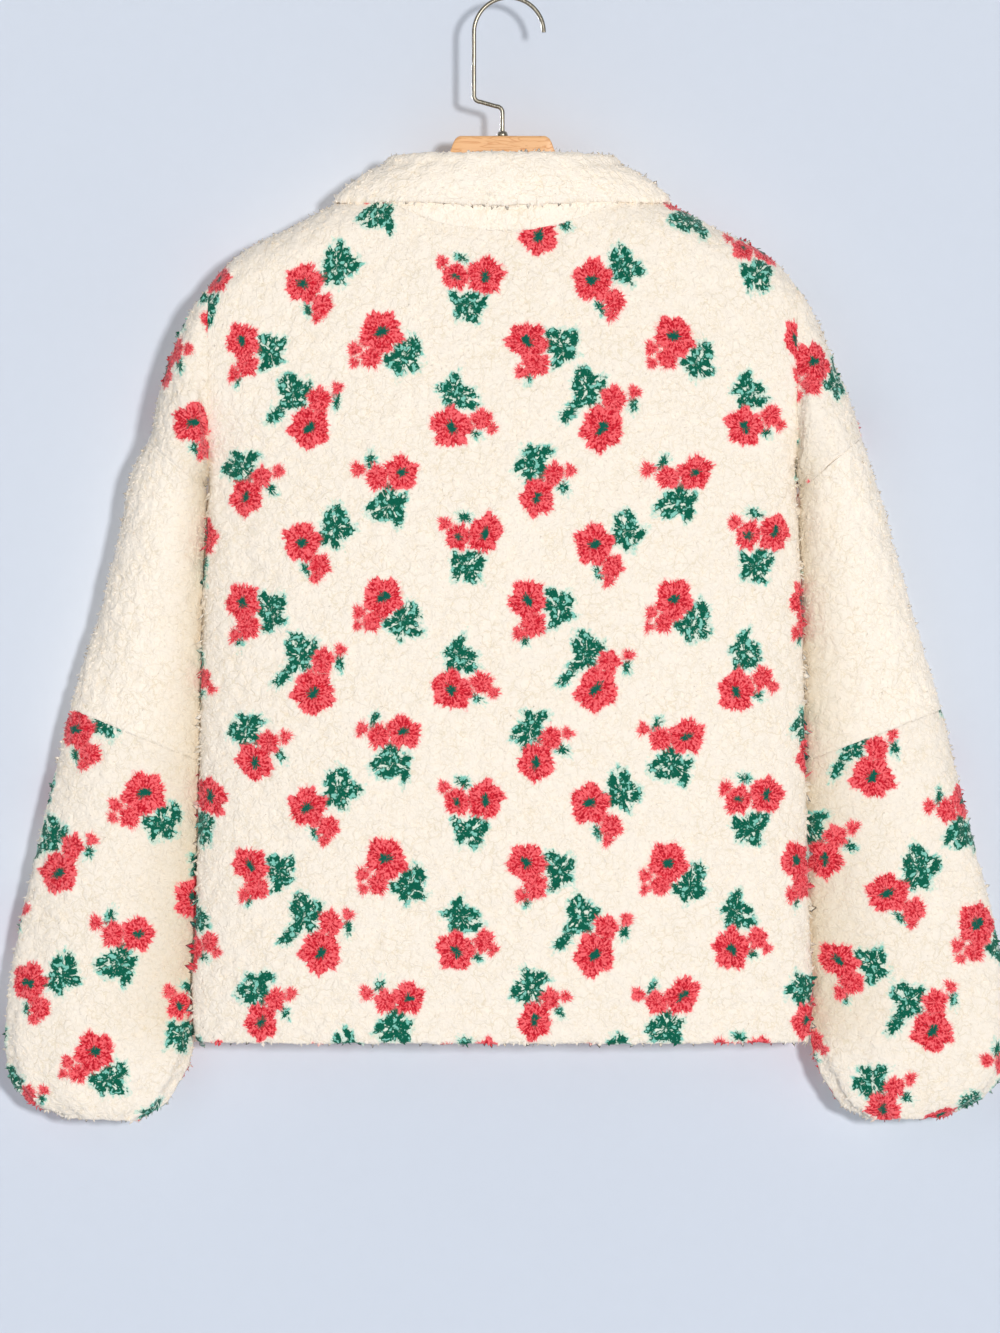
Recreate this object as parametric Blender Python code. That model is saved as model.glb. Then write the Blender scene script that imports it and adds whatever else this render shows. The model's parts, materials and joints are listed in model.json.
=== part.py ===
"""Button collar sweatshirt in teddy fleece, hung flat on a wooden hanger.

The origin is the inside of the hook's crown, where a rail carries the hanger. +Z is up, the garment's
back faces +Y and its front faces -Y. Tables are in millimetres; a drop is measured down from the origin
and a side distance from the garment's centre line.
"""
import math

import bmesh
import bpy
import numpy as np

MM = 0.001

# The cut and the cloth.
CENTRE_X = 5.0
WALL = 5.0
SEAM = 0.3
ARMHOLE = 230.0
UNDERARM_DROP = 373.0
HEM_DROP = 816.0
HEM_STITCH_DROP = 789.0
HEM_STITCH_DEPTH = 1.6
HEM_STITCH_REACH = 5.0
SIDE_ROUNDNESS = 2.6
RIDGE_RADIUS = 30.0

# How far the lens of the body stays open at the armhole, and the drop where it starts to close.
ARMHOLE_OPENNESS = 0.24
ARMHOLE_CLOSING_DROP = 270.0

NECK_HALF_WIDTH = 100.0
BACK_NECK_DROP = 182.5
BACK_NECK_CURVE = 2.2
FRONT_NECK_DROP = 232.0
FRONT_NECK_CURVE = 2.4

# drop, half width of the body, depth of the back, depth of the front
BODY = (
    (110, 230, 26, 18),
    (182, 230, 30, 20),
    (235, 230, 35, 22.5),
    (300, 230, 39, 24.5),
    (373, 230, 42, 26),
    (470, 234.5, 44, 27),
    (590, 237, 43, 27),
    (710, 240, 39, 25),
    (800, 242, 35, 23),
    (816, 240, 34, 22),
)

# side distance, drop of the shoulder ridge
SHOULDER = (
    (0, 126),
    (60, 138),
    (100, 152),
    (134, 162),
    (166, 179),
    (202, 197),
    (216, 208),
    (230, 225),
)

# distance along the outer edge, then the side distance and drop of the outer and the inner edge,
# and the middle and half depth of the tube
LEFT_SLEEVE = (
    (0, 230.3, 225, 230.3, 373, 5, 21),
    (30, 248, 252, 231.0, 375, 3, 27),
    (62, 260, 281, 231.5, 377.5, 0, 30),
    (95, 269.5, 312, 232.0, 380.5, -3, 31),
    (130, 277.5, 346, 232.5, 384, -5, 31),
    (142, 285.5, 359, 231.5, 395, -9, 32),
    (200, 300, 417, 231.5, 450, -13, 32),
    (270, 318, 484, 232, 522, -15, 31),
    (346, 339.5, 555, 233, 598, -16, 29),
    (400, 352, 608, 234.5, 650, -16, 28),
    (470, 368, 676, 236.5, 712, -16, 27),
    (535, 382, 740, 238.5, 766, -16, 26),
    (580, 388.5, 785, 240.5, 803, -15, 26),
    (612, 389.5, 817, 246, 830, -13, 25),
    (643, 383, 849, 256, 850, -12, 22),
    (665, 367, 866, 268, 867, -11, 19),
    (685, 347, 873, 284, 876, -10, 15),
)
RIGHT_SLEEVE = (
    (0, 230.3, 225, 230.3, 373, 5, 21),
    (30, 246, 252, 231.0, 375, 3, 27),
    (62, 258, 281, 231.5, 377.5, 0, 30),
    (95, 271, 312, 232.0, 380.5, -3, 31),
    (130, 281.5, 343, 232.5, 384, -5, 31),
    (142, 286, 357, 231.5, 395, -9, 32),
    (200, 305, 417, 231.5, 450, -13, 32),
    (270, 323, 484, 232, 522, -15, 31),
    (346, 344.5, 556, 233, 598, -16, 29),
    (400, 357, 608, 234.5, 650, -16, 28),
    (470, 373, 672, 236.5, 712, -16, 27),
    (535, 389, 735, 238.5, 766, -16, 26),
    (580, 398, 783, 240.5, 803, -15, 26),
    (612, 399.5, 813, 246, 828, -13, 25),
    (643, 391, 843, 256, 848, -12, 22),
    (665, 373, 862, 268, 866, -11, 19),
    (685, 350, 873, 285, 875, -10, 15),
)
SLEEVE_SEAMS = (130, 346)
# part, rows and columns of points, how much the rows crowd towards the cuff, finish
SLEEVE_PLAN = (
    ("upper", 6, 30, 1.0, "printed_fleece"),
    ("middle", 6, 30, 1.0, "cream_fleece"),
    ("lower", 10, 40, 1.5, "printed_fleece"),
)
CUFF_GATHERS = 10
CUFF_GATHER_START = 560
CUFF_GATHER_DEPTH = 0.05

# turn from the centre back in degrees, then side distance, depth and drop of the fold's centre,
# and side distance, depth and drop of the leaf's edge
COLLAR = (
    (0, 0, 26, 128.5, 0, 41, 159.5),
    (30, 43, 22.5, 128.5, 64.5, 35, 154.5),
    (60, 74, 13, 129.5, 112, 20, 153),
    (90, 86, 0, 131.5, 129, -1, 153.5),
    (103, 84, -8, 136, 127, -17, 161),
    (120, 76, -16, 148, 118, -31, 180),
    (140, 57, -22, 168, 98, -39, 212),
    (160, 28, -26, 190, 68, -42, 244),
    (171, 9, -27, 201, 46, -42, 262),
)
COLLAR_FOLD_SPAN = (86.0, 26.0)
COLLAR_END = 171.0
COLLAR_STEP = 9.0
COLLAR_THICKNESS = 6.0
COLLAR_FOLD_RADIUS = 4.5
COLLAR_LEAF_BULGE = 2.0
COLLAR_GAP = 0.45

# The placket and its buttons on the front.
PLACKET_HALF_WIDTH = 16.0
PLACKET_TOP_DROP = 235.0
PLACKET_BOTTOM_DROP = 450.0
PLACKET_THICKNESS = 4.0
SLIT_HALF_WIDTH = 0.8
SLIT_BOTTOM_DROP = 430.0
BUTTON_DROPS = (254.0, 310.0, 366.0, 422.0)
BUTTON_RADIUS = 7.5
BUTTON_THICKNESS = 3.2
BUTTON_RIM = 1.6
BUTTON_DISH = 0.7
BUTTON_GAP = 0.5

# The hanger. side distance, drop of the top edge, drop of the bottom edge
HANGER_BAR = (
    (0, 106.9, 158),
    (34, 106.9, 160),
    (37.5, 109.5, 160.5),
    (42, 121.5, 162),
    (52, 138.5, 165),
    (66, 152, 170),
    (80, 162, 176),
    (92, 166.5, 180),
)
HANGER_TIP = 200.0
HANGER_TIP_DEPTH = 13.0
HANGER_ARM_DEPTH = 17.0
HANGER_ARM_START = 112.0
HANGER_THICKNESS = 12.0
HANGER_TIP_SHARE = 0.7
HANGER_REST_GAP = 2.7
HANGER_EDGE = 2.4
WIRE_RADIUS = 1.7
HOOK_RADIUS = 27.3
HOOK_BEND_RADIUS = 5.0
HOOK_BEND_DROP = 75.0
HOOK_JOG_FALL = 3.5
FERRULE_RADIUS = 4.2
FERRULE_TOP_DROP = 103.0
FERRULE_DOME = 1.6

# name, colour, roughness, metallic
FINISHES = {
    "printed_fleece": ((0.90, 0.84, 0.76, 1.0), 0.95, 0.0),
    "cream_fleece": ((0.94, 0.90, 0.81, 1.0), 0.95, 0.0),
    "button_plastic": ((0.88, 0.80, 0.66, 1.0), 0.35, 0.0),
    "beech_wood": ((0.80, 0.52, 0.27, 1.0), 0.45, 0.0),
    "hook_steel": ((0.55, 0.52, 0.46, 1.0), 0.30, 1.0),
}


def follow(table, column, at):
    """Read a column between the table's rows, on a smooth curve through them."""
    keys, values = (np.array([row[c] for row in table], float) for c in (0, column))
    slopes = np.gradient(values, keys)
    at = np.clip(at, keys[0], keys[-1])
    low = np.clip(np.searchsorted(keys, at) - 1, 0, len(keys) - 2)
    step = keys[low + 1] - keys[low]
    t = (at - keys[low]) / step
    start = (1 + 2 * t) * (1 - t) ** 2 * values[low] + t * (1 - t) ** 2 * step * slopes[low]
    end = t**2 * (3 - 2 * t) * values[low + 1] - t**2 * (1 - t) * step * slopes[low + 1]
    return start + end


def smooth_step(t):
    t = np.clip(t, 0, 1)
    return t * t * (3 - 2 * t)


def place(side, depth, drop):
    """Points in metres from a side distance, a depth and a drop."""
    side, depth, drop = np.broadcast_arrays(side, depth, drop)
    return np.stack([side + CENTRE_X, depth, -drop], axis=-1) * MM


# The body: two panels that make a lens, closed at the shoulders and the sides.


def body_depth(side, drop, column, inset):
    """Depth of a panel's outer face, or of its inner face when inset is the wall."""
    full_depth = follow(BODY, column, drop) - inset
    closing = (drop - ARMHOLE_CLOSING_DROP) / (UNDERARM_DROP - ARMHOLE_CLOSING_DROP)
    openness = ARMHOLE_OPENNESS * (1 - smooth_step(closing))
    full_width = (follow(BODY, 1, drop) - inset) * (1 + openness)
    across = np.sqrt(np.clip(1 - (np.abs(side) / full_width) ** SIDE_ROUNDNESS, 0, 1))
    below = (drop - inset - follow(SHOULDER, 1, np.abs(side))) / RIDGE_RADIUS
    over_ridge = np.sqrt(np.clip(1 - (1 - np.clip(below, 0, 1)) ** 2, 0, 1))
    stitch = np.exp(-(((drop - HEM_STITCH_DROP) / HEM_STITCH_REACH) ** 2))
    groove = HEM_STITCH_DEPTH * stitch * (inset == 0)
    return SEAM / 2 + np.maximum(full_depth - groove, 0) * across * over_ridge


def neck_drop(side, column):
    """Drop of the neckline's edge at a side distance; column 2 is the back, 3 the front."""
    centre, power = {
        2: (BACK_NECK_DROP, BACK_NECK_CURVE),
        3: (FRONT_NECK_DROP, FRONT_NECK_CURVE),
    }[column]
    corner = float(follow(SHOULDER, 1, NECK_HALF_WIDTH))
    rise = (centre - corner) * np.clip(np.abs(side) / NECK_HALF_WIDTH, 0, 1) ** power
    return np.where(np.abs(side) < NECK_HALF_WIDTH, centre - rise, 0)


def top_drop(side, column, inset):
    """Drop of a panel's top edge: the shoulder ridge, and the neckline between the shoulders."""
    return np.maximum(follow(SHOULDER, 1, np.abs(side)) + inset, neck_drop(side, column))


def panel_point(across, down, column, inset):
    """A point of a body panel; across runs from -1 to 1 and down is its row's height share."""
    ridge_share, armhole_share, below = down
    top = top_drop(across * ARMHOLE, column, inset)
    ridge_end = top + RIDGE_RADIUS * ridge_share
    drop = ridge_end + (UNDERARM_DROP - ridge_end) * armhole_share + below
    width = np.where(drop < UNDERARM_DROP, ARMHOLE, follow(BODY, 1, drop) - inset)
    below_arm = smooth_step((drop - UNDERARM_DROP) / WALL)
    width = ARMHOLE * (1 - below_arm) + width * below_arm
    side = across * width
    depth = body_depth(side, drop, column, inset)
    return place(side, depth if column == 2 else -depth, drop)


def panel_rows():
    """The rows of a panel: round the ridge, to the underarm, down the body and round the hem stitch."""
    ridge = [(1 - math.cos(math.radians(a)), 0.0, 0.0) for a in (0, 22, 50, 90)]
    armhole = [(1.0, math.sin(math.pi / 2 * i / 5), 0.0) for i in range(1, 6)]
    body = np.linspace(UNDERARM_DROP, HEM_STITCH_DROP - HEM_STITCH_REACH, 7)[1:]
    hem = (HEM_STITCH_DROP, HEM_STITCH_DROP + HEM_STITCH_REACH, HEM_DROP)
    return ridge + armhole + [(1.0, 1.0, drop - UNDERARM_DROP) for drop in (*body, *hem)]


def panel_columns(slit):
    """Shares across a panel: at the collar's turns, then closer together towards the side seam."""
    neck = NECK_HALF_WIDTH / ARMHOLE
    half = [neck * math.sin(math.radians(turn)) for turn in np.arange(COLLAR_STEP, 91, COLLAR_STEP)]
    half += [neck + (1 - neck) * math.sin(math.pi / 2 * i / 8) for i in range(1, 9)]
    if slit:
        half.insert(0, SLIT_HALF_WIDTH / ARMHOLE)
    middle = [] if slit else [0.0]
    return [-a for a in reversed(half)] + middle + half


# The sleeves: tubes that start at the armhole's loop and fan out from under the arm.


def sleeve_point(along, turn, table, side, inset):
    """A point of a sleeve; turn 0 is its outer edge, and it goes round by the back."""
    outer_x, outer_drop, inner_x, inner_drop, middle, depth = (
        follow(table, column, along) for column in range(1, 7)
    )
    length = np.hypot(outer_x - inner_x, outer_drop - inner_drop)
    narrow = 1 - 2 * inset / length
    gather = np.clip((along - CUFF_GATHER_START) / (table[-1][0] - CUFF_GATHER_START), 0, 1)
    wave = 1 + CUFF_GATHER_DEPTH * gather * np.cos(CUFF_GATHERS * turn)
    swing = np.cos(turn) * narrow * wave
    x = (outer_x + inner_x) / 2 + (outer_x - inner_x) / 2 * swing
    drop = (outer_drop + inner_drop) / 2 + (outer_drop - inner_drop) / 2 * swing
    y = middle + (depth - inset) * np.sin(turn) * wave
    edge = np.where(
        np.sin(turn) >= 0,
        body_depth(ARMHOLE, drop, 2, inset),
        -body_depth(ARMHOLE, drop, 3, inset),
    )
    joined = smooth_step(along / table[1][0])
    return place(side * x, edge * (1 - joined) + y * joined, drop)


# The collar: a stand, a fold and a leaf in one piece, open at the centre front.


def collar_point(turn, station, outside):
    """A point of the collar at a turn in degrees; the outside face is the leaf's upper face."""
    angle, reach = np.radians(turn), np.abs(turn)
    face = 1 if outside else -1
    inset = WALL if outside else 0
    half_neck = NECK_HALF_WIDTH - inset
    side = half_neck * np.sin(angle)
    at_back = reach <= 90
    edge_drop = np.where(at_back, top_drop(side, 2, 0), top_drop(side, 3, 0)) - COLLAR_GAP
    depth_back = body_depth(side, np.maximum(edge_drop, 0), 2, inset)
    depth_front = -body_depth(side, np.maximum(edge_drop, 0), 3, inset)
    base = place(side, np.where(at_back, depth_back, depth_front), edge_drop)

    sign = np.sign(turn)
    fold_x, fold_y, fold_drop, leaf_x, leaf_y, leaf_drop = (
        follow(COLLAR, column, reach) for column in range(1, 7)
    )
    half_width, half_depth = COLLAR_FOLD_SPAN
    normal = np.stack(
        [np.sin(angle) / half_width, np.cos(angle) / half_depth, np.zeros_like(angle)], axis=-1
    )
    normal /= np.linalg.norm(normal, axis=-1, keepdims=True)
    up = np.array([0.0, 0.0, 1.0])
    fold = place(sign * fold_x, fold_y, fold_drop)
    edge = place(sign * leaf_x, leaf_y, leaf_drop)
    radius = COLLAR_FOLD_RADIUS * MM
    half = COLLAR_THICKNESS / 2 * MM
    stand_top = fold - normal * (radius + face * half)
    if station <= 1:
        return base * (1 - station) + stand_top * station
    if station <= 2:
        bend = math.pi * (2 - station)
        ring = -normal * math.cos(math.pi - bend) + up * math.sin(bend)
        return fold + ring * (radius + face * half)
    share = station - 2
    leaf_top = fold + normal * radius
    run = edge - leaf_top
    out = -normal * run[..., 2:] + up * np.sum(run * normal, axis=-1, keepdims=True)
    out /= np.linalg.norm(out, axis=-1, keepdims=True)
    blend = min(1.0, share * 4)
    facing = normal * (1 - blend) + out * blend
    facing /= np.linalg.norm(facing, axis=-1, keepdims=True)
    bulge = COLLAR_LEAF_BULGE * MM * math.sin(math.pi * share)
    return leaf_top + run * share + facing * (bulge + face * half)


# Making the solids.


def finish(name):
    """The piece's own material, in one of the finishes."""
    colour, roughness, metallic = FINISHES[name]
    material = bpy.data.materials.new(name)
    material.use_nodes = True
    shader = material.node_tree.nodes["Principled BSDF"]
    shader.inputs["Base Color"].default_value = colour
    shader.inputs["Roughness"].default_value = roughness
    shader.inputs["Metallic"].default_value = metallic
    return material


def add_piece(name, mesh, collection, finish_name, sharp_degrees=50):
    """Put a mesh in the collection as a named piece with its finish."""
    piece = bpy.data.objects.new(name, mesh)
    collection.objects.link(piece)
    mesh.materials.append(finish(finish_name))
    mesh.shade_smooth()
    mesh.set_sharp_from_angle(angle=math.radians(sharp_degrees))
    return piece


def wall_mesh(name, faces, columns, rows, kept=None):
    """A closed wall between two faces, each given as points in a grid of columns and rows."""
    mesh = bmesh.new()
    grids = []
    for points in faces:
        grid = bmesh.ops.create_grid(mesh, x_segments=columns - 1, y_segments=rows - 1, size=0.5)
        order = {}
        for vertex in grid["verts"]:
            column = round((vertex.co.x + 0.5) * (columns - 1))
            row = round((vertex.co.y + 0.5) * (rows - 1))
            order[column, row] = vertex
            vertex.co = points[row][column]
        grids.append(order)
    if kept is not None:
        cut = [
            face
            for face in mesh.faces
            if not kept(sum((v.co for v in face.verts), face.verts[0].co * 0) / len(face.verts))
        ]
        bmesh.ops.delete(mesh, geom=cut, context="FACES")
    partner = {near: grids[1][key] for key, near in grids[0].items() if near.is_valid}
    rims = [edge for edge in mesh.edges if edge.is_boundary and edge.verts[0] in partner]
    for edge in rims:
        first, second = edge.verts
        mesh.faces.new((first, second, partner[second], partner[first]))
    bmesh.ops.remove_doubles(mesh, verts=mesh.verts, dist=1e-6)
    doubled = [face for face in mesh.faces if face.calc_area() < 1e-12]
    bmesh.ops.delete(mesh, geom=doubled, context="FACES")
    bmesh.ops.recalc_face_normals(mesh, faces=mesh.faces)
    data = bpy.data.meshes.new(name)
    mesh.to_mesh(data)
    mesh.free()
    return data


def make_panel(name, column, slit, collection):
    """A body panel with its wall."""
    shares = np.array(panel_columns(slit))
    rows = panel_rows()
    faces = [
        np.array([panel_point(shares, row, column, inset) for row in rows]) for inset in (0, WALL)
    ]

    def kept(centre):
        in_slit = abs(centre.x / MM - CENTRE_X) < SLIT_HALF_WIDTH / 2
        return not (in_slit and -centre.z / MM < SLIT_BOTTOM_DROP)

    mesh = wall_mesh(name, faces, len(shares), len(rows), kept if slit else None)
    return add_piece(name, mesh, collection, "printed_fleece")


def make_sleeve_piece(name, table, side, ends, rows, columns, crowding, collection, finish_name):
    """One of a sleeve's three tubes, between two distances along it."""
    start, end = ends
    turns = np.linspace(0, 2 * math.pi, columns + 1)
    turns[-1] = 0
    stops = start + (end - start) * (1 - (1 - np.linspace(0, 1, rows)) ** crowding)
    faces = [
        np.array([sleeve_point(along, turns, table, side, inset) for along in stops])
        for inset in (0, WALL)
    ]
    mesh = open_tube_mesh(name, faces, columns, rows)
    return add_piece(name, mesh, collection, finish_name)


def open_tube_mesh(name, faces, columns, rows):
    """A closed wall round a tube: two grids whose first and last columns meet."""
    mesh = bmesh.new()
    rims = []
    for points in faces:
        grid = bmesh.ops.create_grid(mesh, x_segments=columns, y_segments=rows - 1, size=0.5)
        ends = {0: {}, rows - 1: {}}
        for vertex in grid["verts"]:
            column = round((vertex.co.x + 0.5) * columns)
            row = round((vertex.co.y + 0.5) * (rows - 1))
            vertex.co = points[row][column]
            if row in ends and column < columns:
                ends[row][column] = vertex
        rims.append(ends)
    for row in (0, rows - 1):
        outer, inner = rims[0][row], rims[1][row]
        for column in range(columns):
            after = (column + 1) % columns
            mesh.faces.new((outer[column], outer[after], inner[after], inner[column]))
    bmesh.ops.remove_doubles(mesh, verts=mesh.verts, dist=1e-6)
    bmesh.ops.recalc_face_normals(mesh, faces=mesh.faces)
    data = bpy.data.meshes.new(name)
    mesh.to_mesh(data)
    mesh.free()
    return data


def make_sleeve(word, table, side, collection):
    """The three pieces of a sleeve, a seam's gap apart."""
    stops = (0, *SLEEVE_SEAMS, table[-1][0])
    for (part, rows, columns, crowding, finish_name), start, end in zip(SLEEVE_PLAN, stops, stops[1:]):
        ends = (start + (SEAM / 2 if start else 0), end - (SEAM / 2 if part != "lower" else 0))
        name = f"sleeve_{word}_{part}"
        make_sleeve_piece(name, table, side, ends, rows, columns, crowding, collection, finish_name)


def make_collar(collection):
    """The collar's stand, fold and leaf."""
    turns = np.arange(-COLLAR_END, COLLAR_END + COLLAR_STEP / 2, COLLAR_STEP)
    stations = [0, 0.5, 1, 1.25, 1.5, 1.75, 2, 2.25, 2.6, 3]
    faces = [
        np.array([collar_point(turns, station, outside) for station in stations])
        for outside in (True, False)
    ]
    mesh = wall_mesh("collar", faces, len(turns), len(stations))
    return add_piece("collar", mesh, collection, "cream_fleece")


def make_placket(collection):
    """The strip over the front's slit, made from the front's points, moved out."""
    sides = np.linspace(-PLACKET_HALF_WIDTH, PLACKET_HALF_WIDTH, 5)
    drops = np.linspace(PLACKET_TOP_DROP, PLACKET_BOTTOM_DROP, 11)
    faces = [
        np.array([place(sides, -body_depth(sides, drop, 3, 0) - out, drop) for drop in drops])
        for out in (SEAM + PLACKET_THICKNESS, SEAM)
    ]
    mesh = wall_mesh("placket", faces, len(sides), len(drops))
    return add_piece("placket", mesh, collection, "cream_fleece")


def turned(name, profile, steps, collection, finish_name):
    """A solid turned round Z from a closed profile of radius and height, in millimetres."""
    mesh = bmesh.new()
    ring = [mesh.verts.new((radius * MM, 0, height * MM)) for radius, height in profile]
    edges = [mesh.edges.new((ring[i], ring[(i + 1) % len(ring)])) for i in range(len(ring))]
    bmesh.ops.spin(
        mesh,
        geom=ring + edges,
        cent=(0, 0, 0),
        axis=(0, 0, 1),
        angle=2 * math.pi,
        steps=steps,
        use_merge=True,
    )
    bmesh.ops.remove_doubles(mesh, verts=mesh.verts, dist=1e-6)
    bmesh.ops.recalc_face_normals(mesh, faces=mesh.faces)
    data = bpy.data.meshes.new(name)
    mesh.to_mesh(data)
    mesh.free()
    return add_piece(name, data, collection, finish_name, 30)


def make_buttons(collection):
    """Round buttons with a dished face, on the placket."""
    base = SEAM + PLACKET_THICKNESS + BUTTON_GAP
    for number, drop in enumerate(BUTTON_DROPS, 1):
        radius, thick = BUTTON_RADIUS, BUTTON_THICKNESS
        mesh = bmesh.new()
        bmesh.ops.create_cone(
            mesh,
            cap_ends=True,
            segments=20,
            radius1=radius * MM,
            radius2=radius * MM,
            depth=thick * MM,
        )
        face = max(mesh.faces, key=lambda f: f.calc_center_median().z)
        bmesh.ops.inset_individual(mesh, faces=[face], thickness=BUTTON_RIM * MM)
        bmesh.ops.inset_individual(mesh, faces=[face], thickness=BUTTON_DISH * MM, depth=-BUTTON_DISH * MM)
        data = bpy.data.meshes.new(f"button_{number}")
        mesh.to_mesh(data)
        mesh.free()
        button = add_piece(f"button_{number}", data, collection, "button_plastic", 30)
        depth = float(body_depth(0, drop, 3, 0)) + base + thick / 2
        button.location = place(0, -depth, drop)
        button.rotation_euler = (math.pi / 2, 0, 0)


def hanger_edges(side):
    """Drops of the bar's top and bottom edge: a block in the middle, and arms that fit the shoulders."""
    shoulder = follow(SHOULDER, 1, side) + WALL + HANGER_REST_GAP
    along = np.clip((side - HANGER_ARM_START) / (HANGER_TIP - HANGER_ARM_START), 0, 1)
    depth = HANGER_ARM_DEPTH + (HANGER_TIP_DEPTH - HANGER_ARM_DEPTH) * along
    to_arm = smooth_step((side - HANGER_BAR[-1][0]) / (HANGER_ARM_START - HANGER_BAR[-1][0]))
    places, tops, bottoms = zip(*HANGER_BAR)
    block_top, block_bottom = np.interp(side, places, tops), np.interp(side, places, bottoms)
    top = block_top * (1 - to_arm) + shoulder * to_arm
    bottom = block_bottom * (1 - to_arm) + (shoulder + depth) * to_arm
    return top, bottom


def make_hanger_bar(collection):
    """The wooden bar, with its long edges rounded over."""
    half = [0, 34, 37.5, 42, 52, 66, 80, 92, 103, 116, 134, 152, 170, 185, HANGER_TIP - 4, HANGER_TIP]
    sides = np.array([-s for s in reversed(half[1:])] + half)
    top, bottom = hanger_edges(np.abs(sides))
    rounding = np.where(np.abs(sides) == HANGER_TIP, HANGER_EDGE, 0.0)
    narrow = np.interp(np.abs(sides), (HANGER_ARM_START, HANGER_TIP), (1.0, HANGER_TIP_SHARE))
    narrow = narrow * np.where(rounding > 0, HANGER_TIP_SHARE, 1.0)
    edge, full = (0.0, HANGER_THICKNESS / 2 - HANGER_EDGE), (HANGER_EDGE, HANGER_THICKNESS / 2)
    faces = []
    for face in (1, -1):
        upper = [(top + rounding + inset, half) for inset, half in (edge, full)]
        lower = [(bottom - rounding - inset, half) for inset, half in (full, edge)]
        rows = [place(sides, face * half * narrow, drop) for drop, half in upper + lower]
        faces.append(np.array(rows))
    mesh = wall_mesh("hanger_bar", faces, len(sides), len(rows))
    return add_piece("hanger_bar", mesh, collection, "beech_wood")


def hook_route():
    """The wire's centre line: the crown, the long side, the bend to the middle and the stem."""
    crown_drop = HOOK_RADIUS - WIRE_RADIUS
    route = []
    for degrees in range(180, -1, -10):
        angle = math.radians(degrees)
        route.append((HOOK_RADIUS * math.cos(angle), crown_drop - HOOK_RADIUS * math.sin(angle)))
    bend, stem_drop = HOOK_BEND_RADIUS, HOOK_BEND_DROP + 2 * HOOK_BEND_RADIUS + HOOK_JOG_FALL
    for degrees in range(0, 91, 22):
        angle = math.radians(degrees)
        route.append((HOOK_RADIUS - bend + bend * math.cos(angle), HOOK_BEND_DROP + bend * math.sin(angle)))
    for degrees in range(90, -1, -22):
        angle = math.radians(degrees)
        route.append((CENTRE_X + bend - bend * math.cos(angle), stem_drop - bend * math.sin(angle)))
    route.append((CENTRE_X, HANGER_BAR[0][1] - SEAM))
    return [((x - CENTRE_X), drop) for x, drop in route]


def make_hook(collection):
    """The bent wire hook, a tube along its route."""
    curve = bpy.data.curves.new("hanger_hook", "CURVE")
    curve.dimensions = "3D"
    curve.bevel_depth = WIRE_RADIUS * MM
    curve.bevel_resolution = 2
    curve.use_fill_caps = True
    spline = curve.splines.new("POLY")
    points = [place(side, 0, drop) for side, drop in hook_route()]
    spline.points.add(len(points) - 1)
    for target, point in zip(spline.points, points):
        target.co = (*point, 1.0)
    hook = bpy.data.objects.new("hanger_hook", curve)
    collection.objects.link(hook)
    curve.materials.append(finish("hook_steel"))
    return hook


def make_ferrule(collection):
    """The domed ring round the wire's foot."""
    inner, outer = WIRE_RADIUS + SEAM, FERRULE_RADIUS
    top, bottom = FERRULE_TOP_DROP, HANGER_BAR[0][1] - SEAM
    shoulder = top + FERRULE_DOME
    profile = (
        (inner, -bottom),
        (outer, -bottom),
        (outer, -shoulder),
        ((inner + outer) / 2, -top - FERRULE_DOME / 4),
        (inner, -top),
    )
    ferrule = turned("hanger_ferrule", profile, 16, collection, "hook_steel")
    ferrule.location.x = CENTRE_X * MM
    return ferrule


def main():
    for old in list(bpy.data.objects):
        bpy.data.objects.remove(old, do_unlink=True)
    garment = bpy.data.collections.new("button_collar_sweatshirt")
    bpy.context.scene.collection.children.link(garment)
    make_panel("back", 2, False, garment)
    make_panel("front", 3, True, garment)
    make_sleeve("left", LEFT_SLEEVE, 1, garment)
    make_sleeve("right", RIGHT_SLEEVE, -1, garment)
    make_collar(garment)
    make_placket(garment)
    make_buttons(garment)
    make_hanger_bar(garment)
    make_hook(garment)
    make_ferrule(garment)


main()
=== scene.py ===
"""Teddy-fleece sweatshirt on a wooden hanger: the finish of every surface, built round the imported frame.

Tables are in millimetres, as the cut was drawn: a side distance runs from the garment's centre line, a depth
from its middle plane, and a drop down from the inside of the hook's crown. The back faces +Y.
"""
import json
import math

import bmesh
import bpy
import numpy as np
from bpy.props import FloatProperty, FloatVectorProperty, IntProperty, PointerProperty
from mathutils import Matrix, Vector

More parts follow.
